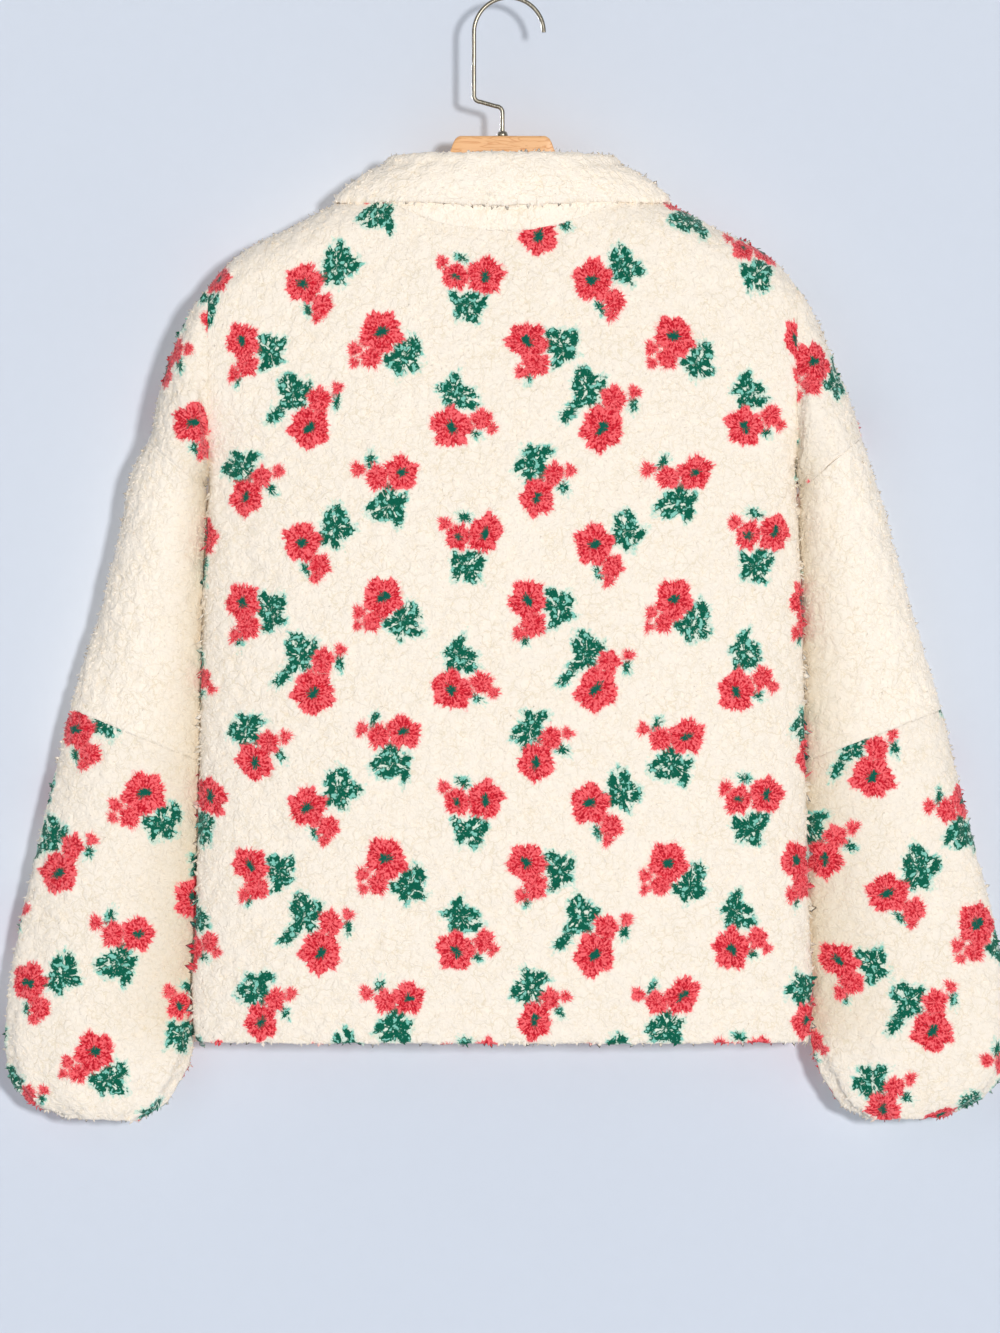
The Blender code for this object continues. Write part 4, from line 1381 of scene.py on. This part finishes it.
class SWEATSHIRT_OT_sleeves(bpy.types.Operator):
    """Make both sleeves: a printed cap, a plain middle and a printed lower part drawn in at the cuff"""

    bl_idname = "sweatshirt.sleeves"
    bl_label = "Sleeves"

    # part, start, end, rows, whether it is printed
    plan = (("upper", 0, 130, 56, True), ("middle", 130, 346, 96, False), ("lower", 346, 685, 152, True))
    flats = {"upper": ((0.32, 0.13), 0.015), "middle": ((0.29, 0.22), 0.048), "lower": ((0.34, 0.34), 0.092)}
    offsets = {
        ("left", "upper"): (76.0, 183.0),
        ("left", "lower"): (-112.0, 219.0),
        ("right", "upper"): (120.0, 275.0),
        ("right", "lower"): (-149.0, 101.0),
    }
    creases = {
        "upper": ((10, 70, 60, 40, 10, -1.6), (-120, 60, 100, 30, 9, -1.4)),
        "middle": ((30, 60, 50, 50, 12, -1.8), (-40, 140, 70, 60, 12, -1.4), (120, 100, 100, 60, 12, -1.6)),
        "lower": (
            (30, 90, 80, 70, 12, -1.5),
            (-45, 150, 96, 70, 13, -1.5),
            (140, 120, 90, 70, 14, -1.7),
            (-120, 120, 84, 60, 14, -1.6),
        ),
    }

    def execute(self, context):
        for word, table, side in (("left", LEFT_SLEEVE, 1), ("right", RIGHT_SLEEVE, -1)):
            for part, start, end, rows, printed in self.plan:
                stops = (max(start - SEAM_OVERLAP, 0), min(end + SEAM_OVERLAP, SLEEVE_LENGTH))

                def point(s, t, inset, table=table, side=side, stops=stops):
                    return sleeve_point(table, side, stops, s, t, inset)

                def nap(s, t, down, part=part, length=end - start):
                    near_start = seam_fade(t * length, 1.5)
                    if part == "lower":
                        return near_start
                    return near_start * seam_fade((1 - t) * length, 1.5)

                # Painted shade along the sleeve's inner edge, where it meets the body.
                def valley(s, t, start=start, end=end):
                    along = start + (end - start) * t
                    edge = np.minimum(s, 1 - s) * SLEEVE_ROUND
                    above_cuff = 1 - smooth_step((along - CUFF_GATHER_START) / 60)
                    return valley_shade(edge, SLEEVE_VALLEY) * above_cuff

                offsets = self.offsets.get((word, part), (0.0, 0.0))
                cloth = (0.75, 0.0, side, side * SLEEVE_LEAN, *offsets)
                name = f"sleeve_{word}_{part}"
                grid, creases = (144, rows, 4), self.creases[part]
                shell = cloth_shell(
                    f"{name}_fleece", grid, point, cloth, printed, True, nap, creases, valley=valley
                )
                slot = "printed_fleece" if printed else "cream_fleece"
                fleece_piece(shell, name, slot)
        return {"FINISHED"}


class SWEATSHIRT_OT_collar(bpy.types.Operator):
    """Make the turn-down collar in one length: stand, fold and leaf, pile on both faces"""

    bl_idname = "sweatshirt.collar"
    bl_label = "Collar"

    # stations of the rows up the outside, and how many rows roll round the leaf's edge
    outside = (*np.linspace(0, 1, 21)[:-1], *np.linspace(1, 2, 10)[:-1], *np.linspace(2, 3, 19))
    roll = 4
    columns = 236

    def execute(self, context):
        stations = np.array([*self.outside, *[3.0] * self.roll, *reversed(self.outside)])
        faces = np.array([1.0] * (len(self.outside) + self.roll) + [-1.0] * len(self.outside))
        rolls = np.zeros(len(stations))
        first = len(self.outside)
        rolls[first : first + self.roll] = np.arange(1, self.roll + 1) / (self.roll + 1)
        rows = len(stations) - 1
        mesh = bmesh.new()
        grid = bmesh.ops.create_grid(mesh, x_segments=self.columns, y_segments=rows, size=0.5)
        order = {}
        for vertex in grid["verts"]:
            column, row = round((vertex.co.x + 0.5) * self.columns), round((vertex.co.y + 0.5) * rows)
            vertex.co = (column, row, 0)
            order[column, row] = vertex
        for column in range(self.columns):
            corners = ((column, 0), (column + 1, 0), (column + 1, rows), (column, rows))
            mesh.faces.new([order[corner] for corner in corners])
        for column in (0, self.columns):
            for row in range(rows // 2):
                ring = dict.fromkeys(order[column, at] for at in (row, row + 1, rows - row - 1, rows - row))
                if len(ring) > 2:
                    mesh.faces.new(list(ring))
        data = mesh_data(mesh, "collar_fleece")
        column, row, _ = vertex_places(data).T
        row = row.round().astype(int)
        turn = (column / self.columns * 2 - 1) * COLLAR_END
        station, face, roll = stations[row], faces[row], rolls[row]
        points = collar_point(turn, station, face)
        under = collar_point(turn, station, -np.ones_like(face))
        before = collar_point(turn, np.full_like(station, 2.9), np.ones_like(face))
        outward = collar_point(turn, np.full_like(station, 3.0), np.ones_like(face)) - before
        outward /= np.linalg.norm(outward, axis=-1, keepdims=True)
        share = roll[:, None]
        rounded = points * (1 - share) + under * share
        rounded += outward * COLLAR_THICKNESS / 2 * MM * np.sin(math.pi * share)
        points = np.where(share > 0, rounded, points)
        data.vertices.foreach_set("co", points.astype(np.float32).ravel())
        down = np.where(face > 0, station, 6.5 - station) * 40
        store(data, "cloth", np.stack([turn * 1.6, down, np.zeros_like(down)], axis=-1) * MM)
        store(data, "nap", seam_fade(station * 45))
        store(data, "relief", np.zeros_like(down))
        store(data, "lock", 1.0 + 0.3 * smooth_step(station - 2))
        store(data, "valley", np.zeros_like(down))
        face_outward(data)
        shell = new_object("collar_fleece", data)
        fleece_piece(shell, "collar", "cream_fleece")
        return {"FINISHED"}


class SWEATSHIRT_OT_placket(bpy.types.Operator):
    """Make the strip that closes the front's slit, sewn down along its edges"""

    bl_idname = "sweatshirt.placket"
    bl_label = "Placket"

    def execute(self, context):
        def point(s, t, inset):
            side = (s * 2 - 1) * PLACKET_HALF_WIDTH
            drop = PLACKET_TOP_DROP + (PLACKET_BOTTOM_DROP - PLACKET_TOP_DROP) * t
            out = SEAM + PLACKET_THICKNESS * (1 - inset / WALL)
            return place(side, -body_depth(side, drop, "front", 0) - out, drop)

        def nap(s, t, down):
            length = PLACKET_BOTTOM_DROP - PLACKET_TOP_DROP
            edge = np.minimum(np.minimum(s, 1 - s) * 2 * PLACKET_HALF_WIDTH, np.minimum(t, 1 - t) * length)
            stitch = np.exp(-(((edge - 3.5) / 1.2) ** 2))
            return (0.35 + 0.35 * smooth_step(edge / 3)) * (1 - 0.8 * stitch)

        cloth = (0.5, 0.0, 1, None, 0.0, 0.0)
        shell = cloth_shell("placket_fleece", (20, 132, 4), point, cloth, False, False, nap)
        fleece_piece(shell, "placket", "cream_fleece")
        return {"FINISHED"}


# Hard pieces.


def add_piece(name, mesh, material, sharp_degrees=None):
    """Turn a bmesh into a finished piece that rides on the garment's body."""
    data = mesh_data(mesh, name)
    data.materials.append(material)
    data.shade_smooth()
    if sharp_degrees is not None:
        data.set_sharp_from_angle(angle=math.radians(sharp_degrees))
    piece = new_object(name, data)
    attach(piece, "root")
    return piece


def horn_material():
    """Satin horn-like plastic with soft cloudy streaks."""
    material, nodes, shader = new_material("button_horn", 0.32, coat_weight=0.3, coat_roughness=0.2)
    button = bpy.context.scene.sweatshirt_button
    where = nodes.add("ShaderNodeTexCoord").outputs["Object"]
    cloud = nodes.noise(where, 220.0, 4.0, 0.55, 2.0).outputs["Fac"]
    dark = with_alpha(c * share for c, share in zip(button.colour, (0.72, 0.62, 0.5)))
    colour = nodes.blend(nodes.ramp(cloud, 0.3, 0.62), dark, with_alpha(button.colour))
    nodes.feed(shader, "Base Color", colour)
    nodes.feed(shader, "Roughness", nodes.ramp(cloud, 0.2, 0.8, 0.26, 0.4))
    return material


def thread_material():
    """Twisted sewing thread."""
    material, nodes, shader = new_material("button_thread", 0.8, sheen_weight=0.3)
    where = nodes.add("ShaderNodeTexCoord").outputs["Object"]
    twist = nodes.noise(where, 2500.0, 1.0).outputs["Fac"]
    thread = bpy.context.scene.sweatshirt_button.thread
    # Painted shade: the thread is darker in the grooves of its twist.
    colour = nodes.blend(nodes.ramp(twist, 0.35, 0.6), with_alpha(thread, 0.7), with_alpha(thread))
    nodes.feed(shader, "Base Color", colour)
    bump(nodes, shader, twist, 0.0002)
    return material


def button_mesh(button):
    """A turned disc with a rolled rim and a dished face; its axis is Z and its back lies at height 0."""
    radius, thick = button.radius, button.thickness
    profile = (
        (0.0, 0.0),
        (radius * 0.86, 0.0),
        (radius * 0.97, thick * 0.16),
        (radius, thick * 0.42),
        (radius * 0.985, thick * 0.72),
        (radius * 0.93, thick * 0.93),
        (radius * 0.86, thick),
        (radius * 0.79, thick * 0.95),
        (radius * 0.72, thick * 0.8),
        (radius * 0.62, thick * 0.7),
        (0.0, thick * 0.66),
    )
    return turned(profile, closed=False, steps=48)


def hole_places(button):
    """The four thread holes round a button's middle."""
    reach = button.hole_place / math.sqrt(2)
    return [(reach * a, reach * b) for a, b in ((1, 1), (-1, 1), (-1, -1), (1, -1))]


class SWEATSHIRT_OT_buttons(bpy.types.Operator):
    """Make the four buttons of the placket, with their thread holes and stitches"""

    bl_idname = "sweatshirt.buttons"
    bl_label = "Buttons"

    def execute(self, context):
        button = context.scene.sweatshirt_button
        horn, thread = horn_material(), thread_material()
        base = SEAM + PLACKET_THICKNESS + BUTTON_GAP
        for number, drop in enumerate(BUTTON_DROPS, 1):
            depth = float(body_depth(0.0, drop, "front", 0)) + base
            home = Matrix.Translation(place(0, -depth, drop)) @ Matrix.Rotation(math.pi / 2, 4, "X")
            piece = add_piece(f"button_{number}_horn", button_mesh(button), horn, 40)
            self.drill(piece, button)
            piece.data.transform(home)
            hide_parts(f"button_{number}")
            stitches = self.stitches(button)
            bmesh.ops.transform(stitches, matrix=home, verts=stitches.verts)
            add_piece(f"button_{number}_thread", stitches, thread)
        return {"FINISHED"}

    def drill(self, piece, button):
        """Cut the four thread holes through a button."""
        drills = bmesh.new()
        for x, y in hole_places(button):
            bmesh.ops.create_cone(
                drills,
                cap_ends=True,
                segments=20,
                radius1=button.hole_radius,
                radius2=button.hole_radius,
                depth=button.thickness * 3,
                matrix=Matrix.Translation((x, y, 0)),
            )
        data = mesh_data(drills, "drills")
        cutter = new_object("drills", data)
        cut = piece.modifiers.new("holes", "BOOLEAN")
        cut.operation, cut.object, cut.solver = "DIFFERENCE", cutter, "EXACT"
        settled(piece)
        bpy.data.objects.remove(cutter)
        bpy.data.meshes.remove(data)

    def stitches(self, button):
        """Two crossed runs of thread, each an arch from hole to hole."""
        mesh = bmesh.new()
        holes = hole_places(button)
        low, high = button.thickness * 0.3, button.thickness * 0.86
        for run, (start, end) in enumerate(((holes[0], holes[2]), (holes[1], holes[3]))):
            for strand in (-1, 0, 1):
                self.strand(mesh, start, end, strand, low, high + run * 0.0004)
        return mesh

    def strand(self, mesh, start, end, strand, low, high):
        """One strand of thread as a tube swept over its arch."""
        radius, sides, steps = 0.00028, 6, 10
        run = Vector((end[0] - start[0], end[1] - start[1], 0))
        across = Vector((-run.y, run.x, 0)).normalized()
        rings = []
        for step in range(steps + 1):
            share = step / steps
            centre = Vector((*start, 0)) + run * share + across * strand * radius * 1.7
            centre.z = low + (high - low) * math.sin(math.pi * min(max(share, 0.02), 0.98)) ** 0.5
            slope = math.cos(math.pi * share)
            heading = (run.normalized() + Vector((0, 0, slope))).to_track_quat("Z", "Y")
            matrix = Matrix.Translation(centre) @ heading.to_matrix().to_4x4()
            ring = bmesh.ops.create_circle(mesh, segments=sides, radius=radius, matrix=matrix)
            rings.append(ring["verts"])
        for near, far in zip(rings, rings[1:]):
            edges = [e for e in {e for v in near + far for e in v.link_edges} if len(e.link_faces) < 2]
            edges = [e for e in edges if all(v in near for v in e.verts) or all(v in far for v in e.verts)]
            bmesh.ops.bridge_loops(mesh, edges=edges)


def hanger_edges(side):
    """Drops of the bar's top and bottom edge: a block in the middle, and arms that fit the shoulders."""
    shoulder = follow(SHOULDER, 1, side) + WALL + HANGER_REST_GAP
    along = np.clip((side - HANGER_ARM_START) / (HANGER_TIP - HANGER_ARM_START), 0, 1)
    depth = HANGER_ARM_DEPTH + (HANGER_TIP_DEPTH - HANGER_ARM_DEPTH) * along
    to_arm = smooth_step((side - HANGER_BAR[-1][0]) / (HANGER_ARM_START - HANGER_BAR[-1][0]))
    places, tops, bottoms = zip(*HANGER_BAR)
    block_top, block_bottom = np.interp(side, places, tops), np.interp(side, places, bottoms)
    top = block_top * (1 - to_arm) + shoulder * to_arm
    bottom = block_bottom * (1 - to_arm) + (shoulder + depth) * to_arm
    return top, bottom


def wood_material():
    """Pale beech: wavy grain along the bar, with short dark flecks, under a satin varnish."""
    hanger = bpy.context.scene.sweatshirt_hanger
    material, nodes, shader = new_material("beech", 0.42, coat_weight=0.15, coat_roughness=0.3)
    where = nodes.add("ShaderNodeTexCoord").outputs["Object"]
    stretched = nodes.add("ShaderNodeMapping", {"Vector": where, "Scale": (9.0, 60.0, 60.0)}).outputs[0]
    sway = nodes.noise(stretched, 0.9, 2.0).outputs["Color"]
    swayed = nodes.vector("ADD", stretched, nodes.vector("SCALE", sway, scale=0.9))
    line = nodes.noise(swayed, 2.6, 3.0, 0.55).outputs["Fac"]
    rings = nodes.math("SINE", nodes.times(line, 46.0))
    fleck = nodes.noise(nodes.vector("MULTIPLY", swayed, (2.2, 9.0, 9.0)), 3.0, 2.0).outputs["Fac"]
    lines, flecks = nodes.ramp(rings, 0.35, 1.0, 0.0, 0.75), nodes.ramp(fleck, 0.62, 0.75, 0.0, 0.5)
    mark = nodes.plus(lines, flecks, clamp=True)
    colour = nodes.blend(mark, with_alpha(hanger.wood), with_alpha(hanger.grain))
    nodes.feed(shader, "Base Color", colour)
    nodes.feed(shader, "Roughness", nodes.ramp(mark, 0.0, 1.0, 0.38, 0.55))
    bump(nodes, shader, nodes.minus(1.0, mark), 0.0002, 0.5)
    return material


HOOK_WORN_SIDES = (-27.0, -14.0)


def steel_material():
    """Drawn and nickelled wire with fine lengthways scratches, dark and pitted towards its free end."""
    hanger = bpy.context.scene.sweatshirt_hanger
    material, nodes, shader = new_material("nickel_wire", 0.3, metallic=1.0)
    where = nodes.add("ShaderNodeTexCoord").outputs["Object"]
    scratch = nodes.noise(nodes.vector("MULTIPLY", where, (1.0, 1.0, 0.12)), 1500.0, 3.0).outputs["Fac"]
    drawn = nodes.blend(
        nodes.ramp(scratch, 0.3, 0.6), with_alpha(hanger.steel, 0.6), with_alpha(hanger.steel)
    )
    along_x = nodes.add("ShaderNodeSeparateXYZ", {0: where}).outputs[0]
    worn = nodes.ramp(along_x, HOOK_WORN_SIDES[0] * MM, HOOK_WORN_SIDES[1] * MM, 1.0, 0.0)
    pits = nodes.add("ShaderNodeTexVoronoi", {"Vector": where, "Scale": 1100.0}, feature="F1")
    pits = pits.outputs["Distance"]
    pitted = nodes.blend(nodes.ramp(pits, 0.2, 0.6), drawn, with_alpha(hanger.steel, 0.3))
    colour = nodes.blend(nodes.times(worn, 0.8), drawn, pitted)
    nodes.feed(shader, "Base Color", colour)
    nodes.feed(shader, "Roughness", nodes.ramp(scratch, 0.2, 0.8, 0.22, 0.42))
    height = nodes.minus(nodes.times(scratch, 0.3), nodes.times(worn, pits))
    bump(nodes, shader, height, 0.0003, 0.6)
    return material


def hook_route():
    """The wire's centre line: the crown, the long side, the bend to the middle and the stem."""
    crown_drop = HOOK_RADIUS - WIRE_RADIUS
    route = []
    for degrees in range(180, -1, -4):
        angle = math.radians(degrees)
        route.append((HOOK_RADIUS * math.cos(angle), crown_drop - HOOK_RADIUS * math.sin(angle)))
    bend, stem_drop = HOOK_BEND_RADIUS, HOOK_BEND_DROP + 2 * HOOK_BEND_RADIUS + HOOK_JOG_FALL
    for degrees in range(0, 91, 9):
        angle = math.radians(degrees)
        route.append((HOOK_RADIUS - bend + bend * math.cos(angle), HOOK_BEND_DROP + bend * math.sin(angle)))
    for degrees in range(90, -1, -9):
        angle = math.radians(degrees)
        route.append((CENTRE_X + bend - bend * math.cos(angle), stem_drop - bend * math.sin(angle)))
    route.append((CENTRE_X, HANGER_BAR[0][1] - SEAM))
    return [(x - CENTRE_X, drop) for x, drop in route]


class SWEATSHIRT_OT_hanger(bpy.types.Operator):
    """Make the hanger: the beech bar, the wire hook and the domed ring at its foot"""

    bl_idname = "sweatshirt.hanger"
    bl_label = "Hanger"

    def execute(self, context):
        self.make_bar(context.scene.sweatshirt_hanger)
        steel = steel_material()
        self.make_hook(steel)
        self.make_ferrule(steel)
        return {"FINISHED"}

    def make_bar(self, hanger):
        """The bar, lofted along its length with its long edges rounded over."""
        sides = np.linspace(-1, 1, HANGER_SECTIONS) * HANGER_TIP
        top, bottom = hanger_edges(np.abs(sides))
        end = np.clip((np.abs(sides) - (HANGER_TIP - HANGER_TIP_ROUNDING)) / HANGER_TIP_ROUNDING, 0, 1)
        shrink = 1 - np.sqrt(1 - end**2)
        taper = np.interp(np.abs(sides), (HANGER_ARM_START, HANGER_TIP), (1.0, HANGER_TIP_SHARE))
        half = HANGER_THICKNESS / 2 * taper * (1 - 0.8 * shrink)
        middle, half_height = (top + bottom) / 2, (bottom - top) / 2 * (1 - 0.8 * shrink)
        edge = hanger.edge_radius / MM
        steps = 5
        mesh = bmesh.new()
        around = 4 * (steps + 1)
        grid = bmesh.ops.create_grid(mesh, x_segments=len(sides) - 1, y_segments=around, size=0.5)
        ends = {0: {}, len(sides) - 1: {}}
        for vertex in grid["verts"]:
            column = round((vertex.co.x + 0.5) * (len(sides) - 1))
            row = round((vertex.co.y + 0.5) * around) % around
            corner, step = divmod(row, steps + 1)
            radius = min(edge, half[column] * 0.9, half_height[column] * 0.9)
            angle = math.radians(90 * corner + 90 * step / steps)
            sign_y = (1, -1, -1, 1)[corner]
            sign_z = (1, 1, -1, -1)[corner]
            y = sign_y * (half[column] - radius) + radius * math.cos(angle)
            z = sign_z * (half_height[column] - radius) + radius * math.sin(angle)
            vertex.co = place(sides[column], y, middle[column] - z)
            if column in ends:
                ends[column][row] = vertex
        bmesh.ops.remove_doubles(mesh, verts=mesh.verts, dist=1e-7)
        rims = [edge for edge in mesh.edges if edge.is_boundary]
        bmesh.ops.holes_fill(mesh, edges=rims, sides=0)
        bmesh.ops.recalc_face_normals(mesh, faces=mesh.faces)
        bar = add_piece("hanger_bar_beech", mesh, wood_material(), 50)
        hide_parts("hanger_bar")

    def make_hook(self, steel):
        """The bent wire, a tube along its route."""
        curve = bpy.data.curves.new("hook_line", "CURVE")
        curve.dimensions = "3D"
        curve.bevel_depth = WIRE_RADIUS * MM
        curve.bevel_resolution = 6
        curve.use_fill_caps = True
        spline = curve.splines.new("POLY")
        points = [place(side, 0, drop) for side, drop in hook_route()]
        spline.points.add(len(points) - 1)
        for target, point in zip(spline.points, points):
            target.co = (*point, 1.0)
        line = new_object("hook_line", curve)
        graph = bpy.context.evaluated_depsgraph_get()
        mesh = bmesh.new()
        mesh.from_mesh(bpy.data.meshes.new_from_object(line.evaluated_get(graph)))
        bpy.data.objects.remove(line)
        bmesh.ops.remove_doubles(mesh, verts=mesh.verts, dist=SAME_PLACE)
        caps = [face for face in mesh.faces if len(face.verts) > 8]
        rims = {edge for face in caps for edge in face.edges}
        bmesh.ops.bevel(
            mesh,
            geom=list(rims),
            offset=WIRE_END_ROUNDING * MM,
            affect="EDGES",
            segments=3,
            profile=0.5,
            material=-1,
        )
        bmesh.ops.recalc_face_normals(mesh, faces=mesh.faces)
        hook = add_piece("hanger_hook_wire", mesh, steel, 40)
        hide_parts("hanger_hook")

    def make_ferrule(self, steel):
        """The domed ring, turned round the wire."""
        inner, outer = WIRE_RADIUS + SEAM, FERRULE_RADIUS
        top, bottom = FERRULE_TOP_DROP, HANGER_BAR[0][1] - SEAM
        profile = [(inner, -bottom), (outer, -bottom), (outer, -bottom + FERRULE_RIM)]
        for degrees in range(0, 91, 15):
            angle = math.radians(degrees)
            reach = inner + (outer - FERRULE_STEP - inner) * math.cos(angle)
            profile.append((reach, -bottom + FERRULE_RIM + (bottom - FERRULE_RIM - top) * math.sin(angle)))
        mesh = turned([(reach * MM, height * MM) for reach, height in profile], closed=True, steps=40)
        bmesh.ops.translate(mesh, verts=mesh.verts, vec=(CENTRE_X * MM, 0, 0))
        ferrule = add_piece("hanger_ferrule_dome", mesh, steel, 40)
        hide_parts("hanger_ferrule")


# The studio.

PHOTO_SIZE = (1000, 1333)
PIXEL = 0.78 * MM
PHOTO_CENTRE_LINE = 502.5
PHOTO_CROWN_ROW = -3.0
SENSOR_MM = 36.0
WALL_Y = -0.052
FLOOR_Z = -1.25
GARMENT_PLANE = 0.02
LIT_MIDDLE = (0.0, 0.0, -0.5)
# name of a light, its place for the back, and its size; the front has the same two
LIGHTS = (("key", (-2.5, 9.0, 0.15), 1.0), ("fill", (1.1, 2.2, -0.1), 1.8))


def stage_material(name, colour):
    """A plain matt paint with a faint mottle, which can be seen through from behind."""
    material, nodes, shader = new_material(name, 0.9, specular_ior_level=0.1)
    where = nodes.add("ShaderNodeTexCoord").outputs["Object"]
    mottle = nodes.noise(where, 90.0, 4.0, 0.6).outputs["Fac"]
    pale = with_alpha(min(1.0, c * 1.025) for c in colour)
    nodes.feed(shader, "Base Color", nodes.blend(mottle, with_alpha(colour), pale))
    behind = nodes.add("ShaderNodeNewGeometry").outputs["Backfacing"]
    clear = nodes.add("ShaderNodeBsdfTransparent").outputs[0]
    mixed = nodes.add("ShaderNodeMixShader", {0: behind, 1: shader.outputs[0], 2: clear})
    nodes.feed(nodes.tree.nodes["Material Output"], "Surface", mixed.outputs[0])
    return material


def plain_sheet(name, size, matrix, material):
    """A flat sheet of the stage, which casts no shadow."""
    mesh = bmesh.new()
    bmesh.ops.create_grid(mesh, x_segments=1, y_segments=1, size=size / 2, matrix=matrix)
    data = mesh_data(mesh, name)
    data.materials.append(material)
    sheet = new_object(name, data)
    sheet.visible_shadow = False


def area_light(name, place_at, target, size, power):
    """A round soft light that the camera doesn't see."""
    light = bpy.data.lights.new(name, "AREA")
    light.shape, light.size, light.energy = "DISK", size, power
    lamp = new_object(name, light)
    lamp.visible_camera = False
    lamp.location = place_at
    lamp.rotation_euler = (Vector(target) - Vector(place_at)).to_track_quat("-Z", "Y").to_euler()


class SWEATSHIRT_OT_stage(bpy.types.Operator):
    """Set up the backdrop, floor, lights and camera of a plain pale studio"""

    bl_idname = "sweatshirt.stage"
    bl_label = "Stage"

    def execute(self, context):
        stage = context.scene.sweatshirt_stage
        upright = Matrix.Translation((0, WALL_Y, 0)) @ Matrix.Rotation(-math.pi / 2, 4, "X")
        plain_sheet("backdrop", 8.0, upright, stage_material("wall_paint", stage.wall))
        flat = Matrix.Translation((0, 0, FLOOR_Z))
        plain_sheet("floor", 12.0, flat, stage_material("floor_paint", stage.floor))
        for facing in (1, -1):
            for name, (x, y, z), size in LIGHTS:
                power = getattr(stage, f"{name}_power")
                area_light(name, (x * facing, y * facing, z), LIT_MIDDLE, size, power)
        context.scene.view_settings.view_transform = "Standard"
        world = context.scene.world = bpy.data.worlds.new("studio")
        world.use_nodes = True
        nodes = Nodes(world.node_tree)
        background = world.node_tree.nodes["Background"]
        background.inputs["Color"].default_value = (0.95, 0.975, 1.0, 1.0)
        seen = nodes.add("ShaderNodeLightPath").outputs["Is Camera Ray"]
        strength = nodes.plus(stage.sky_strength, nodes.times(seen, 0.45))
        nodes.tree.links.new(strength, background.inputs["Strength"])
        self.set_camera(context, stage)
        return {"FINISHED"}

    def set_camera(self, context, stage):
        """The photograph's camera: level, square on to the garment's back."""
        across = (PHOTO_CENTRE_LINE - PHOTO_SIZE[0] / 2) * PIXEL + CENTRE_X * MM
        height = -(PHOTO_SIZE[1] / 2 - PHOTO_CROWN_ROW) * PIXEL
        data = bpy.data.cameras.new("camera")
        data.sensor_width = SENSOR_MM
        data.lens = SENSOR_MM * (stage.camera_distance - GARMENT_PLANE) / (PHOTO_SIZE[1] * PIXEL)
        camera = new_object("camera", data)
        camera.location = (across, stage.camera_distance, height)
        camera.rotation_euler = (math.pi / 2, 0, math.pi)
        context.scene.camera = camera


OPERATORS = (
    SWEATSHIRT_OT_stage,
    SWEATSHIRT_OT_body,
    SWEATSHIRT_OT_sleeves,
    SWEATSHIRT_OT_collar,
    SWEATSHIRT_OT_placket,
    SWEATSHIRT_OT_buttons,
    SWEATSHIRT_OT_hanger,
)


class SWEATSHIRT_PT_sidebar(bpy.types.Panel):
    """The garment's settings and the buttons that make its pieces"""

    bl_idname = "SWEATSHIRT_PT_sidebar"
    bl_label = "Sweatshirt"
    bl_space_type = "VIEW_3D"
    bl_region_type = "UI"
    bl_category = "Sweatshirt"

    def draw(self, context):
        for operator in OPERATORS:
            self.layout.operator(operator.bl_idname)
        for name, group in SETTINGS.items():
            box = self.layout.box()
            settings = getattr(context.scene, name)
            for key in group.__annotations__:
                box.prop(settings, key)


CLASSES = (*SETTINGS.values(), *OPERATORS, SWEATSHIRT_PT_sidebar)


def register():
    for cls in CLASSES:
        bpy.utils.register_class(cls)
    for name, group in SETTINGS.items():
        setattr(bpy.types.Scene, name, PointerProperty(type=group))


def unregister():
    for name in SETTINGS:
        delattr(bpy.types.Scene, name)
    for cls in reversed(CLASSES):
        bpy.utils.unregister_class(cls)


def main():
    register()
    for old in [o for o in bpy.data.objects if o.name in ("Cube", "Light", "Camera")]:
        bpy.data.objects.remove(old)
    for operator in OPERATORS:
        group, name = operator.bl_idname.split(".")
        getattr(getattr(bpy.ops, group), name)()


if __name__ == "__main__":
    main()
